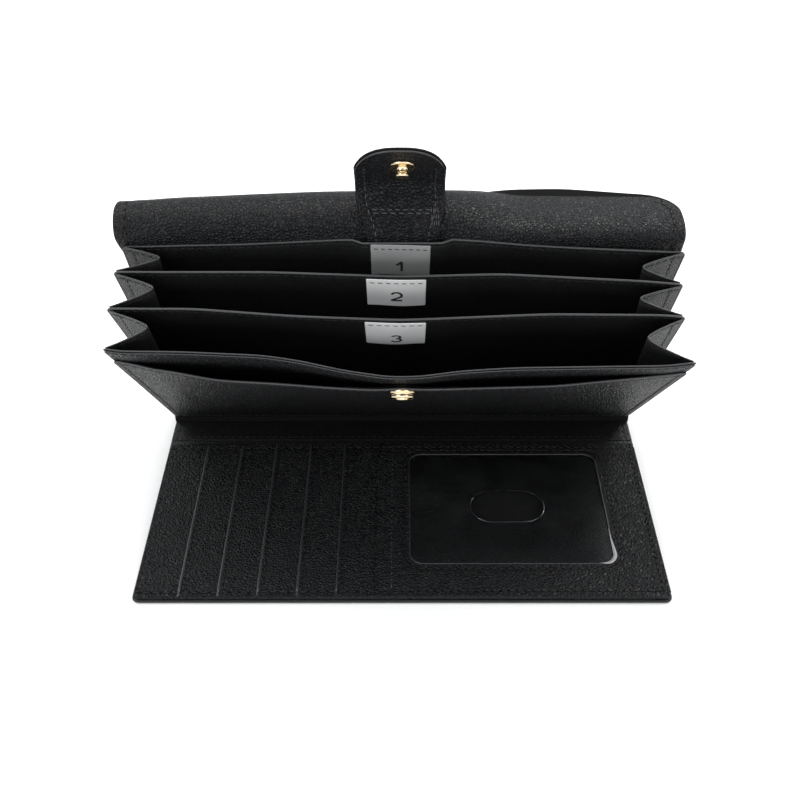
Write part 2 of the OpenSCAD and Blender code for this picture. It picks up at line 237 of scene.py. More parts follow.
class Build:
    """Collects faces for one object."""

    def __init__(self):
        self.co, self.faces, self.mats, self.count = [], [], [], 0

    def add(self, co, faces, mat):
        co = np.asarray(co, float).reshape(-1, 3)
        self.co.append(co)
        self.faces.extend(map(tuple, (np.asarray(faces, int) + self.count).tolist()))
        self.mats.extend(np.broadcast_to(mat, len(faces)).tolist())
        self.count += len(co)

    def sheet(self, mid, thick, d=None, top=0, bottom=None, relief=0, under=0, roll=None, norm=None,
              rim=None, rim_w=0.5, seam=None):
        """A solid sheet round the middle surface `mid` (I x J x 3). d is the distance to its finished edges.
        rim is a distance like d, and faces nearer than rim_w take the burnished edge's material, which is
        lighter as a painted highlight on the edge.
        seam is the grooves' depth, and the faces deep in them take the seam's material, a painted shade in
        the grooves."""
        normal = normals(mid) if norm is None else norm
        bottom = top if bottom is None else bottom
        full = thick / 2 * (1 if d is None else edge_share(d, roll or thick * 0.62))
        idx = numbered(*mid.shape[:2])
        n = idx.size
        q = quads(idx)
        loop = np.concatenate([idx[:, 0], idx[-1, 1:], idx[-2::-1, -1], idx[0, -2:0:-1]])
        nxt = np.roll(loop, -1)
        m_top, m_low, m_side = np.full(len(q), top), np.full(len(q), bottom), np.full(len(loop), bottom)
        # Faces deep in the grooves take the painted seam shade.
        if seam is not None:
            m_top[deep_in(seam)] = SEAM_SHADE
        # Faces near the rim take the burnished edge material, lighter as a painted highlight along the edge.
        if rim is not None:
            near = cell_mean(rim) < rim_w
            m_top[near] = m_low[near] = BURNISH_AND_HIGHLIGHT
            m_side[rim.reshape(-1)[loop] < rim_w] = BURNISH_AND_HIGHLIGHT
        a = mid + normal * (full + relief + np.zeros(idx.shape))[..., None]
        b = mid - normal * (full - under + np.zeros(idx.shape))[..., None]
        self.add(np.concatenate([a.reshape(-1, 3), b.reshape(-1, 3)]),
                 np.concatenate([q, q[:, ::-1] + n, np.stack([loop, loop + n, nxt + n, nxt], -1)]),
                 np.concatenate([m_top, m_low, m_side]))

    def ring_sheet(self, pts, high, low, tops, bottom):
        """A flat sheet that closes on itself: N points round it, M across, with upper and lower heights."""
        idx = numbered(*high.shape)
        k = idx.size
        q = quads(idx, round_a=True, turned=True)
        nx = np.roll(idx, -1, axis=0)
        inner = np.stack([nx[:, 0] + k, idx[:, 0] + k, idx[:, 0], nx[:, 0]], -1)
        outer = np.stack([idx[:, -1] + k, nx[:, -1] + k, nx[:, -1], idx[:, -1]], -1)
        self.add(np.concatenate([np.dstack([pts, z]).reshape(-1, 3) for z in (high, low)]),
                 np.concatenate([q, q[:, ::-1] + k, inner, outer]),
                 np.concatenate([np.broadcast_to(tops, len(q)), np.full(len(q) + 2 * len(idx), bottom)]))

    def thread(self, path, normal, mat, length=2.35, gap=0.75, width=0.5, height=0.34):
        """Stitches along a path of points. The normal is one for all or one at each point."""
        path = np.asarray(path, float)
        normal = np.broadcast_to(normal, path.shape)
        s = np.concatenate([[0], np.cumsum(np.linalg.norm(np.diff(path, axis=0), axis=1))])
        room = s[-1] - 2 * STITCH_START + gap
        count = int(room / (length + gap))
        if count < 1:
            return
        pitch = room / count
        length = pitch - gap
        at = (STITCH_START + np.arange(count) * pitch + length / 2)[:, None] + STITCH_AT[None] * length
        jitter = RNG.uniform(-STITCH_JITTER, STITCH_JITTER, (count, 2))[:, 0]
        p = np.stack([np.interp(at, s, path[:, k]) for k in range(3)], -1)
        m = unit(np.stack([np.interp(at, s, normal[:, k]) for k in range(3)], -1))
        side = unit(np.cross(unit(np.gradient(p, axis=1)), m))
        p = p + STITCH_AT[None, :, None] * (STITCH_SKEW + jitter)[:, None, None] * side
        p = p + m * (height * 0.5 - STITCH_SUNK + STITCH_DROP[None] * height * 0.8)[..., None]
        ang = turn(STITCH_SIDES)
        ring = (side[:, :, None] * (np.cos(ang) * width / 2)[None, None, :, None]
                + m[:, :, None] * (np.sin(ang) * height / 2)[None, None, :, None])
        idx = numbered(count, len(STITCH_AT), STITCH_SIDES)
        one = quads(idx[0], round_b=True)
        caps = np.concatenate([idx[:, 0, ::-1], idx[:, -1]]) + self.count
        self.add(p[:, :, None] + ring * STITCH_GIRTH[None, :, None, None],
                 (one[None] + idx[:, :1, :1]).reshape(-1, 4), mat)
        self.faces.extend(map(tuple, caps.tolist()))
        self.mats.extend([mat] * len(caps))

    def tube(self, ring, half_w, half_h, mat, sides=10, power=1, inward=False):
        """A closed oval tube along a closed row of points that lies flat. A power below 1 squares it off."""
        ang = turn(sides)
        wide, tall = [np.sign(f(ang)) * np.abs(f(ang)) ** power for f in (np.cos, np.sin)]
        out = unit(np.cross(np.roll(ring, -1, 0) - np.roll(ring, 1, 0), UP))
        half_h = np.broadcast_to(half_h, len(ring))
        co = ring[:, None] + out[:, None] * (wide * half_w)[None, :, None]
        co = co + UP * (half_h[:, None] * tall)[..., None]
        self.add(co, quads(numbered(len(ring), sides), True, True, turned=inward), mat)

    def lathe(self, plane, u, v, base, profile, rounds=2, segments=64):
        """Turns a softened profile of (radius, height above base) round the plane's normal, in brass."""
        p = np.asarray(profile, float)
        for _ in range(rounds):
            cut = [x for a, c in zip(p[:-1], p[1:]) for x in (a * 0.78 + c * 0.22, a * 0.22 + c * 0.78)]
            p = np.array([p[0], *cut, p[-1]])
        ang = turn(segments)
        r, n = p[:, 0][:, None], p[:, 1][:, None] + base
        self.add(plane.at(u + r * np.cos(ang), v + r * np.sin(ang), n + 0 * ang),
                 quads(numbered(len(p), segments), round_b=True, turned=True), GOLD)

    def finish(self, name, body, nodes, sharp=42):
        """Makes the object. It replaces the CAD nodes named and rides on the body."""
        mesh = bpy.data.meshes.new(name)
        mesh.from_pydata((np.concatenate(self.co) / 1000).tolist(), [], self.faces)
        for m in SUITE:
            mesh.materials.append(m)
        mesh.polygons.foreach_set("material_index", np.array(self.mats, np.int32))
        mesh.polygons.foreach_set("use_smooth", np.ones(len(self.faces), bool))
        mesh.validate()
        mesh.update()
        mesh.set_sharp_from_angle(angle=math.radians(sharp))
        obj = bpy.data.objects.new(name, mesh)
        bpy.context.scene.collection.objects.link(obj)
        if nodes:
            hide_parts(*nodes)
        if body:
            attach(obj, body)
        return obj


# Faces deep in a groove; they take the painted seam shade.
def deep_in(seam):
    return cell_mean(seam) < 0.55 * min(seam.min(), -0.01)


# Outlines and curves

ARC_STEPS = 8


def arc(cu, cv, r, a0, a1, count, r_v=None):
    """Points of an arc from angle a0 to a1, in degrees. r_v makes it oval."""
    turned = np.radians(np.linspace(a0, a1, count))
    return [(cu + r * math.cos(a), cv + (r_v or r) * math.sin(a)) for a in turned]


def dense(corners, step=1.0):
    """Points along straight runs from corner to corner."""
    out = []
    for (x0, y0), (x1, y1) in zip(corners[:-1], corners[1:]):
        n = max(2, int(math.hypot(x1 - x0, y1 - y0) / step))
        out += [(x0 + (x1 - x0) * i / n, y0 + (y1 - y0) * i / n) for i in range(n)]
    return np.array(out + [tuple(corners[-1])])


def rounded(u0, u1, v0, v1, r):
    """A closed rounded rectangle, anticlockwise from the low left."""
    corners = ((u0 + r, v0 + r, 180), (u1 - r, v0 + r, 270), (u1 - r, v1 - r, 0), (u0 + r, v1 - r, 90))
    out = [p for cu, cv, a0 in corners for p in arc(cu, cv, r, a0, a0 + 90, ARC_STEPS + 1)]
    return np.array(out + out[:1])


def spread(line, x0, x1, y0, y1, per):
    """Points on a rounded rectangle and their partners on the rectangle round it: each corner's arc
    against the outer corner, and `per` points on each straight run against the straight."""
    ins, outs = [], []
    share = np.linspace(0, 1, ARC_STEPS // 2 + 1)[:, None]
    for k, corner in enumerate(np.array([(x0, y0), (x1, y0), (x1, y1), (x0, y1)])):
        bend = line[k * (ARC_STEPS + 1):(k + 1) * (ARC_STEPS + 1)]
        run = line[(k + 1) % 4 * (ARC_STEPS + 1)] - bend[-1]
        straight = [bend[-1] + run * i / per for i in range(1, per)]
        along = np.arange(2) == k % 2
        first, last = np.where(along, corner, bend[0]), np.where(along, bend[-1], corner)
        ins += [*bend, *straight]
        outs += [*(first + (corner - first) * share), *(corner + (last - corner) * share[1:])]
        outs += [*np.where(along, straight, corner)]
    return np.array(ins), np.array(outs)


def curve(table, sigma=3.5):
    """A smooth function through a table of (x, value)."""
    xs, ys = np.array(table, float).T
    step, reach = 0.5, 30
    fine = np.arange(-125, 125.1, step)
    k = np.exp(-0.5 * (np.arange(-reach, reach + 1) * step / sigma) ** 2)
    y = np.convolve(np.pad(np.interp(fine, xs, ys), reach, mode="edge"), k / k.sum(), mode="valid")
    return lambda x: np.interp(x, fine, y)


# Shader nodes

def put(t, socket, value):
    """Sets a socket to a value, or links it to another node's output."""
    if isinstance(value, bpy.types.NodeSocket):
        t.links.new(value, socket)
    else:
        socket.default_value = value


def node(t, kind, out, sockets, **setup):
    """A shader node's output, with its sockets set by name and its own settings."""
    n = t.nodes.new("ShaderNode" + kind)
    for key, value in setup.items():
        setattr(n, key, value)
    for key, value in sockets.items():
        put(t, n.inputs[key], value)
    return n.outputs[out]


def maths(t, op, *terms, kind="Math", **setup):
    return node(t, kind, 0, dict(enumerate(terms)), operation=op, **setup)


def noise(t, vec, scale, detail=3, rough=0.5, out="Fac"):
    return node(t, "TexNoise", out, {"Scale": scale, "Detail": detail, "Roughness": rough, "Vector": vec})


def bump(t, height, strength, dist, **after):
    return node(t, "Bump", "Normal", {"Strength": strength, "Distance": dist, "Height": height, **after})


def ramp(t, fac, *stops):
    """Blends between colours; each stop is a place and a colour or a grey."""
    n = t.nodes.new("ShaderNodeValToRGB")
    steps = n.color_ramp.elements
    steps[0].position, steps[1].position = stops[0][0], stops[-1][0]
    for place, _ in stops[1:-1]:
        steps.new(place)
    for step, (_, colour) in zip(steps, stops):
        step.color = (*(colour if np.ndim(colour) else [colour] * 3), 1)
    put(t, n.inputs["Fac"], fac)
    return n.outputs["Color"]


def new_material(name):
    """A material, its tree, its shader's sockets and the object's coordinates."""
    m = bpy.data.materials.new(name)
    m.use_nodes = True
    t = m.node_tree
    return m, t, t.nodes["Principled BSDF"].inputs, t.nodes.new("ShaderNodeTexCoord").outputs["Object"]


# Materials

def leather(name, cell, dark, light, rough=(0.42, 0.62), depth=0.00018, strength=0.75, spec=0.5):
    """Pebbled leather: rounded cells between fine creases, with pores, soft wear, uneven dye and painted
    shade that darkens the creases.
    """
    m, t, p, tc = new_material(name)
    warp = noise(t, tc, 420, 2, out="Color")
    place = maths(t, "MULTIPLY_ADD", warp, (cell * 0.0006,) * 3, tc, kind="VectorMath")
    cells = {"Scale": 1000 / cell, "Vector": place}
    edge = node(t, "TexVoronoi", "Distance", cells, feature="DISTANCE_TO_EDGE")
    pebble = ramp(t, edge, (0.0, 0.0), (0.12, 0.36), (0.3, 0.8), (0.55, 1.0))
    each = node(t, "SeparateColor", 0, {0: node(t, "TexVoronoi", "Color", cells)})
    height = maths(t, "MULTIPLY", pebble, maths(t, "MULTIPLY_ADD", each, 0.35, 0.72))
    height = maths(t, "ADD", height, maths(t, "MULTIPLY", noise(t, tc, 5200, 2), 0.05))
    big, mid = noise(t, tc, 38, 4, 0.6), noise(t, tc, 240, 3, 0.6)
    # Base colour: uneven dye from the noises, plus painted shade from the pebble, darker in the creases and
    # lighter on the pebble tops.
    tone = maths(t, "ADD", maths(t, "MULTIPLY", big, 0.35), maths(t, "MULTIPLY", pebble, 0.6))
    tone = maths(t, "ADD", tone, maths(t, "MULTIPLY", mid, 0.2), use_clamp=True)
    put(t, p["Base Color"], ramp(t, tone, (0, dark), (1, light)))
    wear = maths(t, "ADD", maths(t, "MULTIPLY", mid, 0.4), maths(t, "MULTIPLY", big, 0.35))
    wear = maths(t, "SUBTRACT", wear, maths(t, "MULTIPLY", pebble, 0.12))
    put(t, p["Roughness"], node(t, "MapRange", "Result", {
        "From Min": 0.1, "From Max": 0.6, "To Min": rough[0], "To Max": rough[1], "Value": wear}))
    p["Specular IOR Level"].default_value = spec
    grain = bump(t, height, strength, depth)
    put(t, p["Normal"], bump(t, noise(t, tc, 95, 3, 0.55), 0.35, 0.0006, Normal=grain))
    return m


def satin(name, dark, light, threads, rough, spec=0.35, strength=0.4, sheen=0.0):
    """A fine woven cloth: crossed threads, with uneven tone."""
    m, t, p, tc = new_material(name)
    wave = {"Scale": threads, "Distortion": 0.6, "Detail": 1, "Vector": tc}
    x, y, z = [node(t, "TexWave", "Fac", wave, wave_type="BANDS", bands_direction=a) for a in "XYZ"]
    weave = maths(t, "MULTIPLY", x, maths(t, "ADD", y, z))
    big = noise(t, tc, 60, 4, 0.6)
    tone = maths(t, "ADD", maths(t, "MULTIPLY", big, 0.8), maths(t, "MULTIPLY", weave, 0.15), use_clamp=True)
    put(t, p["Base Color"], ramp(t, tone, (0, dark), (1, light)))
    put(t, p["Roughness"], maths(t, "MULTIPLY_ADD", big, 0.18, rough - 0.09))
    p["Specular IOR Level"].default_value = spec
    if sheen:
        p["Sheen Weight"].default_value = sheen
        p["Sheen Roughness"].default_value = 0.4
    fine = bump(t, weave, strength, 0.00005)
    put(t, p["Normal"], bump(t, noise(t, tc, 130, 3, 0.5), 0.3, 0.0005, Normal=fine))
    return m


def brass(name, tone, rough):
    """Polished plating with faint cloudiness."""
    m, t, p, tc = new_material(name)
    n = noise(t, tc, 900, 4, 0.6)
    put(t, p["Base Color"], ramp(t, n, (0, [c * 0.82 for c in tone]), (1, tone)))
    p["Metallic"].default_value = 1.0
    put(t, p["Roughness"], maths(t, "MULTIPLY_ADD", n, 0.16, rough - 0.08))
    put(t, p["Normal"], bump(t, noise(t, tc, 2600, 3), 0.12, 0.00004))
    return m


def clear(name):
    """Clear sheet: passes light straight through and keeps a soft, uneven gloss."""
    m = bpy.data.materials.new(name)
    m.use_nodes = True
    t = m.node_tree
    t.nodes.clear()
    n = noise(t, t.nodes.new("ShaderNodeTexCoord").outputs["Object"], 70, 4, 0.55)
    thru = node(t, "BsdfTransparent", 0, {"Color": (0.93, 0.94, 0.95, 1)})
    glossy = node(t, "BsdfGlossy", 0, {
        "Roughness": maths(t, "MULTIPLY_ADD", n, 0.2, 0.08), "Normal": bump(t, n, 0.25, 0.0008)})
    share = maths(t, "MULTIPLY", node(t, "Fresnel", 0, {"IOR": 1.38}), 1.4)
    out = t.nodes.new("ShaderNodeOutputMaterial")
    put(t, out.inputs["Surface"], node(t, "MixShader", 0, {0: share, 1: thru, 2: glossy}))
    return m


SUITE = [
    leather("pebbled_leather", 1.3, (0.0010, 0.0012, 0.0016), (0.0074, 0.0078, 0.0090),
            rough=(0.33, 0.55), depth=0.0006, strength=1.0, spec=0.24),
    leather("panel_leather", 1.1, (0.0024, 0.0026, 0.0029), (0.0065, 0.0068, 0.0075),
            rough=(0.44, 0.62), depth=0.0002, strength=0.85, spec=0.4),
    satin("dark_lining", (0.002, 0.0021, 0.0023), (0.0045, 0.0046, 0.005), 420, 0.7, spec=0.12),
    satin("thread", (0.003, 0.003, 0.0035), (0.010, 0.010, 0.011), 2600, 0.42, strength=0.6),
    leather("gusset_leather", 0.95, (0.006, 0.0062, 0.0068), (0.024, 0.0245, 0.026),
            depth=0.00026, strength=1.0),
    brass("gold_metal", (0.88, 0.71, 0.45), 0.2),
    satin("label_ribbon", (0.72, 0.73, 0.73), (0.88, 0.885, 0.885), 900, 0.42,
          spec=0.5, strength=0.35, sheen=0.2),
    satin("label_print", (0.012, 0.012, 0.013), (0.03, 0.03, 0.032), 900, 0.6),
    clear("clear_sheet"),
    # Burnished edge, lighter than the leather as a painted highlight along the edges.
    leather("burnished_edge", 0.8, (0.016, 0.0165, 0.018), (0.036, 0.037, 0.040),
            rough=(0.3, 0.42), depth=0.00004, strength=0.6),
    # Pale sheet edge: a painted glint.
    satin("sheet_edge", (0.30, 0.30, 0.31), (0.42, 0.42, 0.44), 700, 0.3, spec=0.6, strength=0.1),
    # Lighter thread: painted highlights on the stitches.
    satin("worn_thread", (0.015, 0.016, 0.017), (0.085, 0.088, 0.092), 2600, 0.36, strength=0.6),
    # Painted shade for the bottoms of the grooves.
    satin("seam_shadow", (0.0006, 0.0006, 0.0008), (0.0016, 0.0016, 0.0018), 900, 0.8, spec=0.08),
    # Darker copy of the label ribbon: painted shade.
    satin("grey_ribbon", (0.25, 0.255, 0.255), (0.32, 0.325, 0.325), 900, 0.42,
          spec=0.3, strength=0.35, sheen=0.1),
]
OUTER, INNER, LINING, THREAD, GUSSET, GOLD, RIBBON = range(7)
PRINT, CLEAR, BURNISH_AND_HIGHLIGHT, PAINTED_GLINT, PAINTED_LIT_THREAD, SEAM_SHADE, SHADED_RIBBON = range(7, 14)


# Sewing

SEW_IN = 2.8


def flat(pts, z):
    """Points (x, y) laid at height z."""
    return np.column_stack([np.asarray(pts, float), np.full(len(pts), z)])


def sew(b, place, u, v, off, side=1, mat=THREAD, **sizes):
    """Stitches on a surface, off from its middle, on the side that the sign says."""
    u, v = np.broadcast_arrays(u, v)
    p = place(u, v, off)
    b.thread(p, place(u, v, off + side) - p, mat, **sizes)


def sew_run(b, place, corners, off, side=1, step=0.8, **sizes):
    """Stitches along straight runs between corners (u, v)."""
    sew(b, place, *dense(corners, step).T, off, side, **sizes)


# Soft pieces, with points in millimetres

def bends(obj, start, end):
    """Bakes the piece's transform into its mesh. The two points, start and end, are not used."""
    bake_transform(obj)


def pressed(obj, plane, n):
    """Gives the piece its own copy of its mesh. The point at height n of the plane is worked out but not
    used.
    """
    tuple(plane.at(0, 0, n) / 1000)
    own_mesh(obj)


# Cover

SHELL_LO, SHELL_HI = box_of("cover_shell")
SHELL_T = SHELL_HI[2] - SHELL_LO[2]
FOLD_1, FOLD_2 = hinge("cover_fold"), BACK.o
MID_SPINE = (FOLD_1[1] + hinge("back_fold")[1]) / 2
Z_MID = SHELL_T / 2
UNDERSIDE = 0.02


def cover_leather():
    b = Build()
    near_fold = [FOLD_1[1] + x for x in (-3, -2, -1.3, -0.7, 0, 0.7, 1.3, 2, 3)]
    vs = lines(SHELL_LO[1], MID_SPINE, end=False, extra=near_fold)
    u, v, _, d = grid(lines(-HALF, HALF), vs, (3, 3, 0, 0), (1, 1, 1, 0))
    crease = hump(v - FOLD_1[1], 0.9)
    mid = np.stack([u, v, np.full(u.shape, Z_MID)], -1)
    b.sheet(mid, SHELL_T, d, relief=-0.42 * crease, under=0.22 * crease, top=INNER, bottom=OUTER)
    for side in SIDES:
        x = side * (HALF - SEW_IN)
        b.thread(flat(dense([(x, MID_SPINE - 1), (x, SHELL_LO[1] + 4)]), UNDERSIDE), -UP, THREAD)
    near = SHELL_LO[1] + SEW_IN
    b.thread(flat(dense([(-HALF + 3.5, near), (HALF - 3.5, near)]), UNDERSIDE), -UP, THREAD)
    cover = b.finish("cover_leather", None, ["cover_shell"])
    bends(cover, (0, FOLD_1[1] - 3, 0), (0, FOLD_1[1] + 3, 0))


cover_leather()

# The cover's facing: a lining leaf, five stepped card pockets and the window's frame

LIN_LO, LIN_HI = box_of("cover_lining")
PANEL_LO, PANEL_HI = box_of("id_window_panel")
MOUTHS = [box_of(f"card_pocket_{i}")[0][0] for i in range(1, 6)] + [PANEL_LO[0]]
RIM = 0.55
SEW_FACE = SEW_IN - RIM
FACE_LOW, FACE_HIGH, FACE_BORDER = 2.3, PANEL_HI[2], 7


def face_top(x):
    """Height of the facing: it rises from the left border to the window's frame."""
    share = (x - MOUTHS[0] + FACE_BORDER) / (MOUTHS[-1] - MOUTHS[0] + FACE_BORDER)
    return FACE_LOW + (FACE_HIGH - FACE_LOW) * np.clip(share, 0, 1)


def mouth_lift(g, edge_d):
    """A pocket's mouth stands up a little, except where its ends are sewn."""
    return 0.36 * np.exp(-g / 4.5) * smooth((edge_d - 0.8) / 3)


def facing_strip(name, node_name, x0, x1, first=False):
    """A pocket layer from its mouth at x0 to just under the next one at x1."""
    b = Build()
    y0, y1, t = LIN_LO[1] + RIM, LIN_HI[1] - RIM, 0.46
    u, v, gaps, _ = grid(lines(x0, x1, start=not first, end=False, step=2.0), lines(y0, y1, step=3.0))
    mouth_d, edge_d = gaps[0], np.minimum(gaps[2], gaps[3])
    level = FACE_LOW if first else face_top(x0)
    seam = valley(edge_d, SEW_FACE, 0.22, 0.4)
    relief = 0.08 * smooth((edge_d - 3) / 4)
    lift = 0 if first else mouth_lift(mouth_d, edge_d)
    if first:
        seam = np.minimum(seam, valley(mouth_d, SEW_FACE, 0.22, 0.4))
    else:
        seam = np.minimum(seam, valley(mouth_d, 2.0, 0.2, 0.35) * smooth((edge_d - 1) / 2))
        relief += lift + 0.06 * np.sin(v / 11.3 + x0) * np.exp(-mouth_d / 9) * smooth((edge_d - 2) / 4)
    mid = np.stack([u, v, np.full(u.shape, level - t / 2)], -1)
    d = None if first else mouth_d
    b.sheet(mid, t, d, relief=relief + seam, under=0.5 * lift, top=OUTER, bottom=LINING, roll=0.42,
            norm=np.broadcast_to(UP, mid.shape), rim=d, rim_w=0.7, seam=seam)

    def stitches(corners, **sizes):
        x, y = dense(corners).T
        e = 0.05

        def place(x, y):
            rise = 0 if first else mouth_lift(np.abs(x - x0), np.minimum(y - y0, y1 - y))
            return np.stack([x, y, level + rise - 0.1 + 0 * y], -1)

        b.thread(place(x, y), np.cross(place(x + e, y) - place(x - e, y), place(x, y + e) - place(x, y - e)),
                 THREAD, **sizes)

    near, far = LIN_LO[1] + SEW_IN, LIN_HI[1] - SEW_IN
    for y in (near, far):
        stitches([(x0 + (SEW_FACE if first else 0.9), y), (x1 - 2.6, y)])
    x = x0 + (SEW_FACE if first else 2.1)
    stitches([(x, near + 0.8), (x, far - 0.8)], width=0.46)
    b.finish(name, "cover", [node_name])


def facing_edge():
    """The facing's turned edge runs all round it."""
    b = Build()
    outline = rounded(LIN_LO[0] + RIM, LIN_HI[0] - RIM, LIN_LO[1] + RIM, LIN_HI[1] - RIM, 2.6)
    ring = dense(outline, 1.2)[:-1]
    high, low = face_top(ring[:, 0]), SHELL_T + 0.22 + 0.08 * np.sin(ring[:, 0] / 17.0)
    middle, tall = np.column_stack([ring, (high + low) / 2]), (high - low) / 2
    b.tube(middle, RIM + 0.12, tall, OUTER, sides=16, power=0.75)
    b.finish("facing_edge", "cover", [])


facing_strip("cover_facing", "cover_lining", LIN_LO[0] + RIM, MOUTHS[0] + 4, first=True)
for i in range(5):
    facing_strip(f"card_slot_{i + 1}", f"card_pocket_{i + 1}", MOUTHS[i], MOUTHS[i + 1] + 3.5)
facing_edge()

# ID window: its frame, a sliver of the sheet's edge in a pale painted glint, and the clear sheet

FRAME_Y0, FRAME_Y1, FRAME_X1 = PANEL_LO[1] + RIM, PANEL_HI[1] - RIM, PANEL_HI[0] - RIM
FRAME_X0, FRAME_TOP = PANEL_LO[0], PANEL_HI[2]


def opening_of_frame():
    co = corners_of("id_window_panel")
    x, y, z = co.T
    inside = (np.abs(x) < PANEL_HI[0] - 6) & (x > FRAME_X0 + 4) & (z > FRAME_TOP - 0.01)
    return x[inside].min(), x[inside].max(), y[inside].min(), y[inside].max()


HX0, HX1, HY0, HY1 = opening_of_frame()


def round_opening(more, r):
    return rounded(HX0 - more, HX1 + more, HY0 - more, HY1 + more, r)


def frame_sheet(b, thick):
    """The frame's leather between the opening and its outline, with a raised bead at the opening."""
    inner, outer = spread(round_opening(0, 5), FRAME_X0, FRAME_X1, FRAME_Y0, FRAME_Y1, 26)
    length = np.linalg.norm(outer - inner, axis=1)
    near = [x / length for x in EDGE[:-3] if x < length.min() * 0.45]
    between = [near[-1] + (1 - 2 * near[-1]) * f for f in np.linspace(0, 1, 7)[1:-1]]
    t = np.stack(near + between + [1 - x for x in reversed(near)], 1)
    pts = inner[:, None] * (1 - t[..., None]) + outer[:, None] * t[..., None]
    x, y, from_opening = pts[..., 0], pts[..., 1], t * length[:, None]
    e = np.minimum(np.minimum(y - FRAME_Y0, FRAME_Y1 - y), FRAME_X1 - x)
    seam = np.minimum(valley(e, SEW_FACE, 0.22, 0.4), valley(from_opening, 2.9, 0.2, 0.4))
    relief = mouth_lift(x - FRAME_X0, e) + 0.10 * hump(from_opening - 0.8, 0.7)
    relief = relief + 0.10 * smooth((e - 3.4) / 4) * smooth((from_opening - 3) / 3)
    half = thick / 2
    share = edge_share(from_opening, thick * 0.62)
    z = FRAME_TOP - half
    # Faces deep in the grooves take the painted seam shade.
    tops = np.where(deep_in(np.concatenate([seam, seam[:1]])), SEAM_SHADE, OUTER)
    b.ring_sheet(pts, z + half * share + relief + seam, z - half * share, tops, LINING)


def frame_stitches(b):
    def sewn(corners, mat=THREAD, step=0.8, **sizes):
        x, y = dense(corners, step).T
        lift = mouth_lift(np.abs(x - FRAME_X0), np.minimum(y - FRAME_Y0, FRAME_Y1 - y))
        b.thread(np.stack([x, y, FRAME_TOP - 0.08 + lift], -1), UP, mat, **sizes)

    low, high, right, r = FRAME_Y0 + SEW_FACE, FRAME_Y1 - SEW_FACE, FRAME_X1 - SEW_FACE, 3
    x0 = FRAME_X0 + 0.9
    corners = arc(right - r, low + r, r, -90, 0, 6) + arc(right - r, high - r, r, 0, 90, 6)
    sewn([(x0, low), *corners, (x0, high)])
    sewn(round_opening(2.9, 6.8), width=0.44)
    x = FRAME_X0 + 6.2
    # Lighter thread in this column: painted highlights on the stitches.
    sewn([(x, low + 0.8), (x, high - 0.8)], PAINTED_LIT_THREAD, step=1.0, width=0.46)


def painted_glint_sliver(b):
    """The clear sheet's edge, sprung out at the near right corner, in four rows of points, pale as a painted
    glint.
    """
    line = dense([(HX1, HY0 + 19), *arc(HX1 - 5, HY0 + 5, 5, 0, -90, 9), (HX1 - 6, HY0)], 0.5)
    along = unit(np.gradient(line, axis=0))
    out = np.stack([-along[:, 1], along[:, 0]], 1)
    q, across = np.linspace(0, 1, len(line)), np.linspace(0, 1, 4)
    width = 0.12 + 1.3 * smooth(q / 0.72) * smooth((1 - q) / 0.2)
    rows = line[:, None] + out[:, None] * (width[:, None] * across)[..., None]
    z = FRAME_TOP + 0.12 + 0.12 * across + 0 * width[:, None]
    # Pale colour: a painted glint on the sheet's edge.
    b.sheet(np.dstack([rows, z]), 0.12, None, top=PAINTED_GLINT, norm=np.broadcast_to(UP, (*z.shape, 3)))


def window_frame():
    b = Build()
    frame_sheet(b, 0.5)
    frame_stitches(b)
    ring = dense(round_opening(0.35, 5.3), 1.2)[:-1]
    # The bead round the opening is burnished leather, lighter as a painted highlight.
    b.tube(flat(ring, FRAME_TOP + 0.03), 0.26, 0.2, BURNISH_AND_HIGHLIGHT)
    painted_glint_sliver(b)
    b.finish("window_frame", "cover", ["id_window_panel"])


def clear_window():
    """The clear sheet with its thumb slot, slightly domed, and the slot's rim."""
    lo, hi = box_of("id_window_vinyl")
    cx, cy = (lo[:2] + hi[:2]) / 2
    co = corners_of("id_window_vinyl")
    slot = co[np.hypot((co[:, 0] - cx) / 16, (co[:, 1] - cy) / 10.5) < 1.15]
    sx, sy = np.abs(slot[:, 0] - cx).max(), np.abs(slot[:, 1] - cy).max()
    ins, outs = spread(rounded(cx - sx, cx + sx, cy - sy, cy + sy, sy - 0.5), lo[0], hi[0], lo[1], hi[1], 14)
    t = np.concatenate([[0, 0.006, 0.016, 0.03], np.linspace(0.05, 0.9, 12), [0.94, 0.97, 1]])[None, :, None]
    pts = ins[:, None] * (1 - t) + outs[:, None] * t
    x, y = pts[..., 0], pts[..., 1]
    middle = (np.clip(1 - (np.abs(x - cx) / (HX1 - HX0) * 2) ** 2, 0, 1)
              * np.clip(1 - (np.abs(y - cy) / (HY1 - HY0) * 2) ** 2, 0, 1))
    dome = middle * (0.18 + 0.12 * np.sin(x / 17 + 1) * np.sin(y / 13))
    low = lo[2] + 0.02 + dome + 0.10 * hump(t[..., 0], 1 / 40)
    b = Build()
    b.ring_sheet(pts, low + hi[2] - lo[2] - 0.02, low, CLEAR, CLEAR)
    b.finish("clear_window", "cover", ["id_window_vinyl"])
    b = Build()
    outline = rounded(cx - sx - 0.1, cx + sx + 0.1, cy - sy - 0.1, cy + sy + 0.1, sy - 0.4)
    b.tube(flat(dense(outline, 0.9)[:-1], hi[2] + 0.2), 0.28, 0.16, CLEAR, sides=8, inward=True)
    b.finish("slot_rim", "cover", [])


window_frame()
clear_window()

# Spine

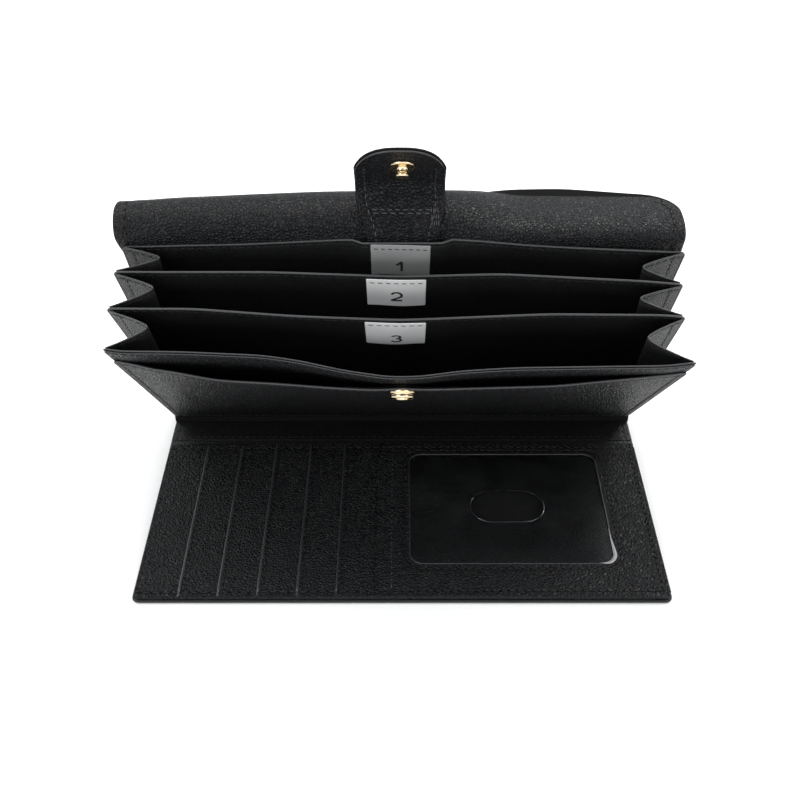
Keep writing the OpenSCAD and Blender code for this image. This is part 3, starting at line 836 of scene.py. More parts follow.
def spine_leaf():
    b = Build()
    lo, hi = box_of("spine_lining")
    u, v, gaps, d = grid(lines(-HALF + 0.2, HALF - 0.2), lines(lo[1], hi[1], step=2.5), (0.8,) * 4)
    mid = np.stack([u, v, np.full(u.shape, (lo[2] + hi[2]) / 2)], -1)
    relief = 0.10 * np.sin(u / 23.0 + 0.7) * smooth(d / 4) - 0.14 * hump(gaps[2] - 7.5, 0.7)
    relief += valley(nearest(gaps, SIDE_EDGES), SEW_IN, 0.15, 0.45)
    level = np.broadcast_to(UP, mid.shape)
    b.sheet(mid, hi[2] - lo[2], d, relief=relief, top=INNER, bottom=LINING, norm=level)
    for side in SIDES:
        x = side * (HALF - 3)
        b.thread(flat(dense([(x, lo[1] + 1), (x, hi[1] - 1)]), hi[2] - 0.06), UP, THREAD)
    b.thread(flat(dense([(-HALF + 4, lo[1] + 2), (HALF - 4, lo[1] + 2)]), hi[2] + 0.02), UP, THREAD)
    b.finish("spine_leaf", "spine", ["spine_lining"])


# Outer leather round the back fold, then up the back to JOIN, where the upper piece takes over

FOLD_R = 1.7
FOLD_TURN = math.radians(180 - BACK.lean)
FOLD_REACH = FOLD_R * math.tan(FOLD_TURN / 2)
FOLD_ARC = FOLD_R * FOLD_TURN
JOIN = 46.0


def wrap(s):
    """Middle line of the leather in (y, z): along the spine, round the fold from s = 0 and up the back."""
    s = np.asarray(s, float)
    start = np.array([FOLD_2[1] - FOLD_REACH, Z_MID])
    a = np.clip(s / FOLD_R, 0, FOLD_TURN)
    bent = start + np.stack([FOLD_R * np.sin(a), FOLD_R * (1 - np.cos(a))], -1)
    up = np.clip(s - FOLD_ARC, 0, None)[..., None] * BACK.v[1:]
    return np.where((s <= 0)[..., None], start + np.stack([s, 0 * s], -1), bent + up)


def spine_leather():
    b = Build()
    s_first = MID_SPINE - (FOLD_2[1] - FOLD_REACH)
    s_last = FOLD_ARC - FOLD_REACH + JOIN
    ss = [np.linspace(s_first, -0.8, 5), np.linspace(0, FOLD_ARC, 15), np.linspace(FOLD_ARC + 1, s_last, 14)]
    u, s, _, d = grid(lines(-HALF, HALF), np.concatenate(ss), edges=SIDE_EDGES)
    b.sheet(np.dstack([u, wrap(s)]), SHELL_T, d, top=LINING, bottom=OUTER)
    count = 90
    yz = wrap(np.linspace(s_first + 1, s_last - 0.4, count))
    along = np.gradient(yz, axis=0)
    out = unit(np.stack([np.zeros(count), along[:, 1], -along[:, 0]], -1))
    for side in SIDES:
        p = np.column_stack([np.full(count, side * (HALF - SEW_IN)), yz])
        b.thread(p + out * (SHELL_T / 2 - 0.05), out, THREAD)
    low = b.finish("spine_leather", None, ["spine_shell"])
    bends(low, (0, FOLD_2[1] - 1.6, Z_MID), BACK.at(0, 3.5, 0))


spine_leaf()
spine_leather()

# The curl at the top: facing and shell roll back from the body's top edge.
# To the left it is a full roll, and to the right it turns over at once and runs on straight.

HINGE_V = float((FLAP.o - BACK.o) @ BACK.v)
LEAD = 5.0
CURL_R = curve([(-105, 7.5), (-95, 7.7), (-83, 8.25), (-57, 9.1), (-23, 9.8), (105, 9.8)], 5)
ROLLED = curve([(-105, 1), (15, 1), (42, 0), (105, 0)], 4)
BEND, BEND_OVER = math.radians(113), 4.0
FLARE_OUT = curve([(-105, -4.6), (-60, -1.6), (0, 0), (60, 1.2), (105, 3.0)], 6)
CURL_LEN = curve([(-105, 21.5), (0, 22), (40, 21), (60, 20.6), (105, 20.4)], 6)
SHELL_MORE = curve([(-105, 1.7), (4, 1.7), (20, 6.4), (62, 8.5), (82, 5.0), (105, 1.2)], 4)
FLAP_LEN = 21.5
FLAP_CORNER = 12
FLAP_SEW, FACING_INSET = 3.6, 0.6
# The shell's inner face has two shallow dents near its middle, this far from its sides
SHELL_DENT = 99

CURL_U, CURL_Q = np.linspace(-112, 112, 113), np.linspace(0, 42, 337)
U_STEP, Q_STEP = CURL_U[1] - CURL_U[0], CURL_Q[1]


def curl_angles():
    rolled = ROLLED(CURL_U)[:, None]
    at_once = BEND * (1 - np.exp(-CURL_Q / BEND_OVER))
    return math.radians(BACK.lean) + rolled / CURL_R(CURL_U)[:, None] * CURL_Q + (1 - rolled) * at_once


def summed(values):
    total = np.cumsum((values[:, 1:] + values[:, :-1]) / 2 * Q_STEP, axis=1)
    return np.pad(total, ((0, 0), (1, 0)))


CURL_A = curl_angles()
CURL_Y, CURL_Z = summed(-np.cos(CURL_A)), summed(np.sin(CURL_A))


def look_up(table, u, q):
    """Reads a table over CURL_U and CURL_Q between its points."""
    i = np.clip((u - CURL_U[0]) / U_STEP, 0, len(CURL_U) - 1.001)
    j = np.clip(q / Q_STEP, 0, len(CURL_Q) - 1.001)
    i0, j0 = i.astype(int), j.astype(int)
    fi, fj = i - i0, j - j0
    low = table[i0, j0] * (1 - fj) + table[i0, j0 + 1] * fj
    high = table[i0 + 1, j0] * (1 - fj) + table[i0 + 1, j0 + 1] * fj
    return low * (1 - fi) + high * fi


def facing_in(a):
    """The direction towards the inner side, at a surface that leans by a."""
    return np.stack([0 * a, -np.sin(a), -np.cos(a)], -1)


def curl(u, s, off=0.0):
    """A point on the curl. s is 0 at the flap hinge; the roll starts LEAD before it."""
    u, s = np.broadcast_arrays(np.asarray(u, float), np.asarray(s, float))
    q = np.clip(s + LEAD, 0, None)
    a = look_up(CURL_A, u, q)
    wide = u + FLARE_OUT(u) * smooth(np.where(u < 0, (s + 26) / 24, (s + 60) / 50))
    base = BACK.at(wide, np.minimum(HINGE_V - LEAD, HINGE_V + s), 0)
    p = base + np.stack([0 * q, look_up(CURL_Y, u, q), look_up(CURL_Z, u, q)], -1)
    return p + facing_in(a) * np.broadcast_to(off, a.shape)[..., None]


CURL_START = curl(0.0, 0.0)
CURL_START_V = float((CURL_START - BACK.o) @ BACK.v)
FACING_LO, FACING_HI = FLAP.span("flap_facing")
FACING_N, FACING_T = float((FACING_LO[2] + FACING_HI[2]) / 2), float(FACING_HI[2] - FACING_LO[2])

# The tab's middle line: its foot bends with the curl, then it runs along the flap, over and down to its tip

BASE_W, BASE_TOP_W, FOOT_HALF_W = 26.6, 33.0, 13
BASE_LO, BASE_HI = FLAP.span("tab_base")
TAB_T = BASE_HI[2] - BASE_LO[2]
TAB_N = (BASE_HI[2] + BASE_LO[2]) / 2
TAB_END = TAB.span("tab_outer")[1][1] - 5.0
TAB_R, ROOT_R = 7.5, 8.0
TAB_TURN, ROOT_TURN = math.radians(FLAP.lean - TAB.lean), math.radians(FLAP.lean - BACK.lean)
TAB_REACH = TAB_R * math.tan(TAB_TURN / 2)
TAB_START = FLAP.at(0, 0.3, TAB_N)
TAB_BASE = float((TAB.o - TAB_START) @ FLAP.v)
TAB_STRAIGHT = TAB_BASE - TAB_REACH
ROOT_END = (ROOT_R - TAB_N) * math.tan(ROOT_TURN / 2) - 0.3
ROOT_START = ROOT_END - ROOT_R * ROOT_TURN
TAB_LEN = TAB_STRAIGHT + TAB_R * TAB_TURN - TAB_REACH + TAB_END
TAB_SEW = 3.7


def tab_mid(s):
    """Middle line of the tab in (y, z) and its lean, s from 0 at its foot on the flap."""
    s = np.asarray(s, float)
    a0 = math.radians(FLAP.lean)
    p = TAB_START[1:] + np.clip(s, ROOT_END, TAB_STRAIGHT)[..., None] * FLAP.v[1:]
    a_root = a0 - np.clip(ROOT_END - s, 0, ROOT_R * ROOT_TURN) / ROOT_R
    p = p + ROOT_R * np.stack([np.sin(a0) - np.sin(a_root), np.cos(a0) - np.cos(a_root)], -1)
    p = p - np.clip(ROOT_START - s, 0, None)[..., None] * BACK.v[1:]
    a = a0 - np.clip(s - TAB_STRAIGHT, 0, TAB_R * TAB_TURN) / TAB_R
    p = p + TAB_R * np.stack([np.sin(a) - math.sin(a0), np.cos(a) - math.cos(a0)], -1)
    p = p + np.clip(s - TAB_STRAIGHT - TAB_R * TAB_TURN, 0, None)[..., None] * TAB.v[1:]
    return p, np.where(s < ROOT_END, a_root, a)


def tab_at(u, s, off=0.0):
    """A point of the tab, which sits a little to the left and is cupped across."""
    yz, a = tab_mid(s)
    cup = 0.5 * (np.abs(u) / 16) ** 2 * smooth((s - 6) / 20)
    x = (u - 0.8 * smooth(s / 18))[..., None]
    return np.concatenate([x, yz], -1) + facing_in(a) * (off + cup)[..., None]


def tab_width(s):
    """Half the tab's width."""
    return BASE_W / 2 + (BASE_TOP_W - BASE_W) / 2 * smooth((s + 3.5) / 15)


def foot_thinned(s):
    """How much thinner the tab's foot is, behind the wall's top edge."""
    return 0.55 * smooth((-1.2 - s) / 3.5)


def upper_back(b):
    """The outer leather above JOIN."""
    first = JOIN - HINGE_V
    ss = np.concatenate([np.linspace(first, -14, 16), np.linspace(-12.5, 0, 18)])
    u, s, _, d = grid(lines(-HALF, HALF), ss, edges=SIDE_EDGES)
    b.sheet(curl(u, s), SHELL_T, d, top=LINING, bottom=OUTER)
    for side in SIDES:
        s = np.linspace(first + 0.4, 0, 120)
        sew(b, curl, side * (HALF - SEW_IN), s, -SHELL_T / 2 + 0.05, -1)


def facing_foot(b):
    """The facing's strip below the flap's hinge, behind the wall's top edge."""
    ss = np.concatenate([np.linspace(-14, -5, 5), np.linspace(-4.2, 0, 8)])
    u, s, _, d = grid(lines(-HALF + FACING_INSET, HALF - FACING_INSET), ss, edges=SIDE_EDGES)
    groove = valley(d, FLAP_SEW, 0.2, 0.5)
    b.sheet(curl(u, s, FACING_N), FACING_T, d, relief=groove, top=OUTER, bottom=LINING)
    for side in SIDES:
        u, s = side * (HALF - FACING_INSET - FLAP_SEW), np.linspace(-13, -0.2, 30)
        sew(b, curl, u, s, FACING_N + FACING_T / 2 - 0.08)


def tab_foot(b):
    """The tab runs on down behind the wall's top edge."""
    shares = lines(-1, 1, step=0.2, edge=[0, 0.02, 0.06])
    share, s, _, d = grid(shares, np.linspace(-12.0, 0.15, 22), edges=SIDE_EDGES)
    thin = foot_thinned(s)
    b.sheet(tab_at(share * tab_width(s), s, -thin / 2), TAB_T, d * FOOT_HALF_W, relief=-thin / 2,
            under=thin / 2, top=OUTER, bottom=LINING)
    s = np.linspace(-6, 0.1, 30)
    for side in SIDES:
        # Lighter thread: painted highlights on the stitches.
        sew(b, tab_at, side * (tab_width(s) - TAB_SEW), s, TAB_T / 2 - foot_thinned(s) - 0.06,
            mat=PAINTED_LIT_THREAD, length=2.0, width=0.42)


def back_leather():
    b = Build()
    upper_back(b)
    facing_foot(b)
    tab_foot(b)
    high = b.finish("back_leather", None, ["back_shell"])
    bends(high, BACK.at(0, CURL_START_V - 4.2, 0), BACK.at(0, CURL_START_V - 0.35, 0))


def curl_piece(name, node_name, off, thick, inner):
    """One layer of the flap. The inner one is the facing, and its stitches turn the right corner."""
    b = Build()
    inset = FACING_INSET if inner else 0

    def place(u, s, off):
        """The layer's length changes along the flap."""
        return curl(u, s * ((CURL_LEN(u) + (0 if inner else SHELL_MORE(u))) / FLAP_LEN), off)

    us, ss = lines(-HALF + inset, HALF - inset, step=3.2), lines(0, FLAP_LEN, start=False, step=1.2)
    u, s, gaps, d = grid(us, ss, (0, 0, FLAP_CORNER, FLAP_CORNER), NO_FOOT)
    ripple = 0.22 * np.sin(u / 19.0 + 0.4) * smooth(s / 9) + 0.12 * np.sin(u / 7.7) * smooth((s - 8) / 10)
    mid = place(u, s, off + ripple * (0.5 if inner else 0.15))
    groove = valley(nearest(gaps, SIDE_EDGES), FLAP_SEW if inner else SHELL_DENT, 0.22, 0.45)
    # The outer layer's inner face takes the seam shade: painted shade where it shows beyond the facing.
    b.sheet(mid, thick, d, relief=groove, top=OUTER if inner else SEAM_SHADE, bottom=LINING if inner else OUTER,
            seam=groove if inner else None)
    if inner:
        w, h, r = HALF - inset - FLAP_SEW, FLAP_LEN - FLAP_SEW, FLAP_CORNER - FLAP_SEW
        corner = arc(w - r, h - r, r, 0, 90, 10)[1:8]
        for row in ([(-w, 0.4), (-w, h - r)], [(w, 0.4), (w, h - r)] + corner):
            sew_run(b, place, row, off + thick / 2 - 0.06)
    else:
        # Both sides take the left side's normals
        u, s = dense([(-HALF + SEW_IN, 0.4), (-HALF + SEW_IN, 12)], 0.8).T
        for side in SIDES:
            b.thread(curl(side * u, s, -thick / 2 + 0.05), curl(u, s, -1) - curl(u, s), THREAD)
    obj = b.finish(name, "flap", [node_name])
    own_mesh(obj)


def tab_layer(name, nodes, layer, inner):
    """One layer of the tab's free end, from the flap's hinge over its bend and up to the rounded tip."""
    b = Build()
    lo, hi = TAB.span(layer)
    off, thick, half_w, inset = (lo[2] + hi[2]) / 2, hi[2] - lo[2], BASE_W / 2, 0.35 if inner else 0
    us, ss = lines(-half_w, half_w, step=1.6), lines(0.0, TAB_LEN - inset, start=False, step=1.2)
    u, s, gaps, d = grid(us, ss, (0, 0, 3.5, 3.0), NO_FOOT)
    drop = 12.5 * np.abs(u / half_w) ** 3.2
    s = s * (1 - drop / TAB_LEN * smooth(s / TAB_LEN * 1.6 - 0.5))
    b.sheet(tab_at(u * (tab_width(s) - inset) / half_w, s, off), thick, d, norm=facing_in(tab_mid(s)[1]),
            relief=valley(d, 3.5, 0.2, 0.45) if inner else 0, top=OUTER if inner else LINING,
            bottom=LINING if inner else OUTER, rim=gaps[3], rim_w=0.5 if inner else 0)
    side = 1 if inner else -1

    def row(u, s, **sizes):
        face = off + side * (thick / 2 - 0.06)
        # The inner layer's stitches are lighter: painted highlights on the thread.
        sew(b, tab_at, u, s, face, side, PAINTED_LIT_THREAD if inner else THREAD, length=2.0, **sizes)

    side_s = np.linspace(0.2, TAB_LEN - 13, 60)
    for edge in SIDES:
        row(edge * (tab_width(side_s) - TAB_SEW), side_s, width=0.42)
    for level in (6.0, 7.3):
        wide = tab_width(level) - 4.6
        row(np.linspace(-wide, wide, 50), level)
    for i in range(4):
        row(tab_width(4.0) - 3.9 + 0.8 * i, np.linspace(1.2, 8.6, 20), gap=0.35, width=0.4)
    obj = b.finish(name, None, nodes)
    bends(obj, FLAP.at(0, TAB_STRAIGHT - 0.2, TAB_N), TAB.at(0, TAB_REACH + 0.4, 0))


back_leather()
curl_piece("flap_outer", "flap_shell", 0.0, SHELL_T, False)
curl_piece("flap_inner", "flap_facing", FACING_N, FACING_T, True)
tab_layer("tab_leather", ["tab_outer", "tab_base"], "tab_outer", False)
tab_layer("tab_lining", ["tab_facing"], "tab_facing", True)

# Accordion: wall, dividers and front panel. BOW is how far each one's top edge bows forward.

BOW = [
    curve([(-96.6, 0.3), (-59.4, -0.3), (-16.2, -0.5), (18.3, -0.3), (56.2, 0.8), (101.7, 3.2)]),
    curve([(-105, -1.6), (-92, -1.4), (-48, -1.4), (-0.8, 0.5), (36.5, -0.5), (88.6, 2.6), (101.4, 3.9)]),
    curve([(-105.7, -3.6), (-90.7, -3.4), (-72.7, -3.4), (-36.7, -0.5), (-0.8, 1.0), (53.1, -1.3),
           (97.2, -0.9), (101.1, 0)]),
    curve([(-105.6, -11.0), (-97.6, -9.1), (-76.4, -8.9), (-47.8, -7.6), (-34.7, -5.6), (-20.2, -2.2),
           (-4.3, 0.2), (6.2, 0.0), (20.7, -2.0), (39.1, -3.1), (64.1, -3.5), (93, -3.9),
           (103.7, -5.4)], 3.0),
]
RISE = curve([(-96, 0), (-59, 1.0), (-19, 3.9), (0, 4.2), (19, 3.9), (40, 1.6), (56, 0.4), (101, 0)], 5)
SLIP_BOW = curve([(-102.4, -8.2), (-82.4, -6.0), (-65.3, -2.5), (-42.8, -1.2), (-24.3, 0.3), (-10.6, 1.0),
                  (5.3, 1.0), (28.9, 0.3), (54.6, -0.4), (84.3, -3.4), (97.8, -4.6), (102.2, -5.0)], 3.5)
WIDER = [(2.4, 3.2), (3.8, 0.3), (4.4, -0.5), (4.1, 2.0)]
PANEL_NAMES = ["wall_leaf", "divider_leaf_1", "divider_leaf_2", "front_leaf"]
PANEL_NODES = ["back_inner_wall", "divider_1", "divider_2", "front_panel"]
PANEL_BODIES = ["back", "divider_1", "divider_2", "front"]
PANEL_SPAN = [PANEL[k].span(PANEL_NODES[k]) for k in range(4)]
TOPS = [hi[1] for lo, hi in PANEL_SPAN]
WALL_T = PANEL_SPAN[0][1][2] - PANEL_SPAN[0][0][2]
WALL_N = (PANEL_SPAN[0][1][2] + PANEL_SPAN[0][0][2]) / 2
WALL_UP = float((PANEL[1].o - BACK.o) @ BACK.v)
PANEL_SEW, FRONT_SEW = 1.75, 2.3
FRONT_T = PANEL_SPAN[3][1][2]
HALF_T = [WALL_T / 2, 0.5, 0.5, FRONT_T]


def rest_n(k):
    """Offset of the flat panel's middle from its plane."""
    return WALL_N if k == 0 else 0


def panel_n(k, u, v):
    """Offset of a panel's middle surface from its plane. The wall is pushed forward by the tab's foot."""
    if k == 0:
        t = np.clip((v - 30) / (TOPS[0] - 30), 0, 1.05)
        pushed = 1.9 * smooth((18.5 - np.abs(u + 0.4)) / 4.5) * smooth((v - 82) / 30)
        return WALL_N + np.maximum(BOW[0](u), 0) * t ** 1.6 + pushed
    return BOW[k](u) * np.clip(v / TOPS[k], 0, 1.05) ** (1.25 if k == 3 else 1.5)


def flare(k, u, v):
    """The panels' tops spread a little, more to the left."""
    left, right = WIDER[k]
    return u + np.where(u < 0, left, right) * u / HALF * np.clip(v / TOPS[k], 0, 1) ** 2


def panel_at(k, u, v, off=0.0):
    return PANEL[k].at(flare(k, u, v), v, panel_n(k, u, v) + off)


def accordion_panel(k):
    b = Build()
    lo, hi = PANEL_SPAN[k]
    t = hi[2] - lo[2]

    def rising(u, v):
        """The wall's top edge rises towards its middle."""
        return v + RISE(u) * smooth((v - 70) / (hi[1] - 70)) if k == 0 else v

    def place(u, v, off):
        return panel_at(k, u, rising(u, v), off)

    def leaf(inset, low):
        us = lines(lo[0] + inset, hi[0] - inset, step=3.6)
        u, v, gaps, d = grid(us, lines(lo[1], hi[1] - low, start=False, step=3.6), (0, 0, 2.5, 2.5), NO_FOOT)
        mid = place(u, v, 0)
        return u, v, gaps[3], d, mid, normals(mid)

    u, v, top_d, d, mid, norm = leaf(0, 0)
    wrinkle = 0.10 * np.sin(u / 9.1 + k) * np.sin(rising(u, v) / 13.0) * smooth(d / 8)
    if k < 3:
        relief = valley(top_d, PANEL_SEW, 0.12, 0.38) + wrinkle
        b.sheet(mid, t, d, relief=relief, under=-wrinkle, top=INNER, norm=norm, rim=d, rim_w=0.3)
    else:
        # Two leaves sewn together: their edges show as a pair
        b.sheet(mid - norm * (t * 0.27), t * 0.42, d, under=wrinkle, top=INNER, norm=norm, rim=d, rim_w=0.2)
        u, v, top_d, d, mid, norm = leaf(0.3, 0.9)
        relief = valley(top_d, FRONT_SEW - 0.9, 0.12, 0.38) + 0.12 * smooth((d - 2) / 5)
        b.sheet(mid + norm * (t * 0.22), t * 0.5, d, relief=relief, top=OUTER, bottom=LINING, norm=norm,
                rim=d, rim_w=0.2)
    level = hi[1] - (FRONT_SEW if k == 3 else PANEL_SEW)
    for side in (1, -1) if k in (1, 2) else (1,):
        row = [(lo[0] + 2.5, level), (hi[0] - 2.5, level)]
        sew_run(b, place, row, side * (t / 2 - 0.05), side, width=0.42, height=0.3)
    if k == 3:
        for side in SIDES:
            x = side * (HALF - 2.4)
            sew_run(b, place, [(x, 4), (x, hi[1] - 4)], t / 2 - 0.05)
    obj = b.finish(PANEL_NAMES[k], PANEL_BODIES[k], [PANEL_NODES[k]])
    pressed(obj, PANEL[k], rest_n(k))


for k in range(4):
    accordion_panel(k)

# Labels: satin tabs with a plain numeral each

LABEL_MOVE = [(-0.6, -1.0, 1.6), (-2.0, 0.0, 0.6), (-2.2, 2.5, 0.4)]
LABEL_TILT = (0.035, 0.012, 0.022)
LABEL_T, LABEL_GAP, LABEL_SEW = 0.28, 0.2, 2.4
LABEL_EDGE = [0, 0.1, 0.25, 0.5, 0.9]
DIGIT_H, DIGIT_UP, STROKE_W = 5.4, (1.6, 2.8, 2.0), 0.95
STROKES = [
    [[(-0.28, 0.62), (0.08, 0.98), (0.08, 0)]],
    [arc(0, 0.64, 0.34, 165, -28, 14) + [(-0.36, 0.02), (0.38, 0.02)]],
    [arc(0, 0.74, 0.28, 160, -90, 14, 0.25), arc(0, 0.26, 0.33, 90, -155, 14, 0.27)],
]


def stroke(b, pts, place, off):
    """A flat printed stroke along points (u, v)."""
    pts = dense(pts, 0.25)
    along = unit(np.gradient(pts, axis=0))
    half = np.stack([-along[:, 1], along[:, 0]], 1) * STROKE_W / 2
    u, v = np.moveaxis(np.stack([pts + half, pts - half], 1), -1, 0)
    k, low = len(pts), 2 * len(pts)
    idx = numbered(k, 2)
    q = quads(idx, turned=True)
    a, c = idx[:, 0], idx[:, 1]
    walls = [np.stack([a[:-1] + low, a[:-1], a[1:], a[1:] + low], -1),
             np.stack([c[:-1], c[:-1] + low, c[1:] + low, c[1:]], -1)]
    ends = np.array([[0, low, low + 1, 1], [low - 2, low - 1, 2 * low - 1, 2 * low - 2]])
    b.add(np.concatenate([place(u, v, off).reshape(-1, 3), place(u, v, off - 0.05).reshape(-1, 3)]),
          np.concatenate([q, q[:, ::-1] + low, *walls, ends]), PRINT)


def label(i):
    b = Build()
    node_name = f"pocket_label_{i + 1}"
    shift, down, up = LABEL_MOVE[i]
    lo, hi = PANEL[i].span(node_name)
    lo, hi = lo + [shift, -down, 0], hi + [shift, up, 0]
    mid_u = (lo[0] + hi[0]) / 2

    def place(u, v, off):
        """Sewn at its top, the label stands off a little more towards its foot."""
        below = hi[1] - v
        lift = 0.55 * smooth(below / 20) ** 2 + 0.18 * np.sin((u - mid_u) / 3.4 + i) * smooth(below / 12)
        v = v - (u - mid_u) * LABEL_TILT[i] + (RISE(u) if i == 0 else 0)
        return panel_at(i, u, v, HALF_T[i] + LABEL_GAP + lift + off)

    us = lines(lo[0] - 0.8, hi[0] + 0.8, step=1.2, edge=LABEL_EDGE)
    vs = lines(lo[1] - 1.0, hi[1], step=1.2, edge=LABEL_EDGE)
    u, v, gaps, d = grid(us, vs, (0.4,) * 4)
    groove = valley(gaps[3], LABEL_SEW, 0.08, 0.35)
    # The first label takes the darker ribbon: painted shade from the flap above it.
    b.sheet(place(u, v, 0), LABEL_T, d, relief=groove, top=RIBBON if i else SHADED_RIBBON)
    row = [(us[0] + 0.6, hi[1] - LABEL_SEW), (us[-1] - 0.6, hi[1] - LABEL_SEW)]
    sew_run(b, place, row, LABEL_T / 2 - 0.04, step=0.6, length=1.9, gap=0.7, width=0.42, height=0.26)
    for shape in STROKES[i]:
        pts = [(mid_u + x * DIGIT_H, lo[1] + DIGIT_UP[i] + y * DIGIT_H) for x, y in shape]
        stroke(b, pts, place, LABEL_T / 2 + 0.03)
    obj = b.finish(f"label_{i + 1}", PANEL_BODIES[i], [node_name])
    pressed(obj, PANEL[i], rest_n(i))


for i in range(3):
    label(i)

# Slip pocket on the front panel

SLIP_LO, SLIP_HI = FRONT.span("front_slip_pocket")
SOCK_LO, SOCK_HI = FRONT.span("snap_socket")
SOCK_U, SOCK_V = (SOCK_LO[:2] + SOCK_HI[:2]) / 2
SLIP_T, MOUTH_SEW = 0.95, 1.9
SLIP_N = SOCK_LO[2] - 0.02 - SLIP_T / 2


def near_socket(u, v, r):
    return ((u - SOCK_U) / r) ** 2 + ((v - SOCK_V) / r) ** 2


def slip_n(u, v):
    """Sewn to the panel at its sides and foot; the mouth bows outward, and the snap holds it in place."""
    sewn = panel_n(3, u, v) + FRONT_T + SLIP_T / 2 + 0.05
    free = SLIP_N + SLIP_BOW(u) * np.clip((v - SLIP_LO[1]) / (SLIP_HI[1] - SLIP_LO[1]), 0, 1) ** 1.3
    loose = smooth((HALF - 2.6 - np.abs(u)) / 14) * smooth((v - SLIP_LO[1] - 3) / 34)
    held = np.exp(-near_socket(u, v, 6))
    return np.maximum(sewn * (1 - loose) + free * loose, sewn) * (1 - held) + SLIP_N * held


def slip_at(u, v, off=0.0):
    return FRONT.at(flare(3, u, v), v, slip_n(u, v) + off)


def slip_leaf():
    b = Build()
    us = lines(SLIP_LO[0] + 0.4, SLIP_HI[0] - 0.4, step=3.0, extra=[SOCK_U + x for x in range(-6, 7, 2)])
    u, v, gaps, d = grid(us, lines(SLIP_LO[1] + 0.2, SLIP_HI[1], step=3.0), (0, 0, 2.5, 2.5))
    mouth_d = gaps[3]
    pinch = -0.3 * hump(u - SOCK_U, 1.1) * np.exp(-mouth_d / 3.2)
    grooves = (valley(nearest(gaps, SIDE_EDGES), SEW_IN, 0.22, 0.5) + valley(mouth_d, MOUTH_SEW, 0.16, 0.42)
               + valley(gaps[2], 2.6, 0.2, 0.5))
    b.sheet(slip_at(u, v), SLIP_T, d, relief=grooves + pinch + 0.10 * smooth((d - 3.4) / 5),
            top=OUTER, bottom=LINING, rim=mouth_d, rim_w=0.5)
    for side in SIDES:
        x = side * (HALF - 3.2)
        sew_run(b, slip_at, [(x, SLIP_LO[1] + 3), (x, SLIP_HI[1] - 3)], SLIP_T / 2 - 0.1)
    top, foot = SLIP_HI[1] - MOUTH_SEW, SLIP_LO[1] + SEW_IN
    for y, x0, x1 in ((top, SLIP_LO[0] + 3, SOCK_U - 1.5), (top, SOCK_U + 1.5, SLIP_HI[0] - 3),
                      (foot, SLIP_LO[0] + 4, SLIP_HI[0] - 4)):
        sew_run(b, slip_at, [(x0, y), (x1, y)], SLIP_T / 2 - 0.08, width=0.44)
    # A lining patch covers the eyelet inside the pocket
    us, vs = lines(SOCK_U - 20, SOCK_U + 20, step=2.5), lines(SOCK_V - 10, SLIP_HI[1] - 0.6, step=2.5)
    u, v, _, d = grid(us, vs, (5, 5, 0.5, 0.5))
    over_eyelet = 0.75 * np.exp(-near_socket(u, v, 6.5) ** 2)
    b.sheet(slip_at(u, v, -SLIP_T / 2 - 0.25 - over_eyelet), 0.3, d, top=LINING)
    obj = b.finish("slip_leaf", "front", ["front_slip_pocket"])
    pressed(obj, FRONT, SLIP_N)


slip_leaf()

# Gussets: two soft leaves each, meeting at a rounded inner crease. t goes from -1 at the rear panel to 1.

GUSSET_DEEP = {-1: (14.6, 15.0, 14.6), 1: (14.4, 15.2, 14.6)}
GUSSET_RISE = (0.8, 2.4, 2.2)
GUSSET_T, GUSSET_GAP = 0.5, 0.34
LEAF_TOP, FULL_DEPTH_V = 111.0, np.array([110.0])
CREASE_R = 0.13
LEAF_TS = np.array([0, 0.02, 0.05, 0.09, 0.14, 0.2, *np.linspace(0.28, 0.7, 7),
                    0.74, 0.77, 0.79, 0.81, 0.83, 0.86, 0.9, 0.95, 1])


def seam_point(k, side, v, front):
    """Where a gusset is sewn to panel k, at height v above the panels' folds."""
    off = (HALF_T[k] + GUSSET_GAP) * (1 if front else -1)
    return panel_at(k, np.full(np.shape(v), side * (HALF - 1.2)), v + (WALL_UP if k == 0 else 0), off)


def gusset(side, i, t, v):
    """A point of gusset i. Its crease reaches inward, in step with the room between the panels."""
    def ends(v):
        return seam_point(i - 1, side, v, True), seam_point(i, side, v, False)

    a, c = ends(v)
    top_a, top_c = ends(FULL_DEPTH_V)
    room = np.linalg.norm(c - a, axis=-1) / np.linalg.norm(top_c - top_a)
    depth = GUSSET_DEEP[side][i - 1] * np.clip(room, 0, 1.1) ** 0.85
    shape = 1 - (np.sqrt(t * t + CREASE_R ** 2) - CREASE_R) / (math.hypot(1, CREASE_R) - CREASE_R)
    shape = np.clip(shape, 0, 1) ** 0.93
    across = 0.5 * np.sign(t) * np.abs(t) ** 0.92
    return (a + c) / 2 + (c - a) * across[..., None] - side * EX * (depth * shape)[..., None]


def crease_rise(i, t, v):
    """The rim of a gusset stands a little higher at its crease."""
    return (GUSSET_RISE[i - 1] * (1 - np.abs(t)) * smooth((v - 85) / 25))[..., None] * (BACK.v + FRONT.v) / 2


def leaf_stitches(b, side, i, t, v):
    """The same row on both faces of a gusset's leaf."""
    e = 0.01
    p = gusset(side, i, t, v) + crease_rise(i, t, v)
    over = gusset(side, i, t + e, v) - gusset(side, i, t - e, v)
    norm = unit(np.cross(over, gusset(side, i, t, v + e) - gusset(side, i, t, v - e)))
    for sign in (1, -1):
        b.thread(p + norm * sign * 0.16, norm * sign, THREAD, length=2.0, gap=0.7, width=0.44, height=0.3)


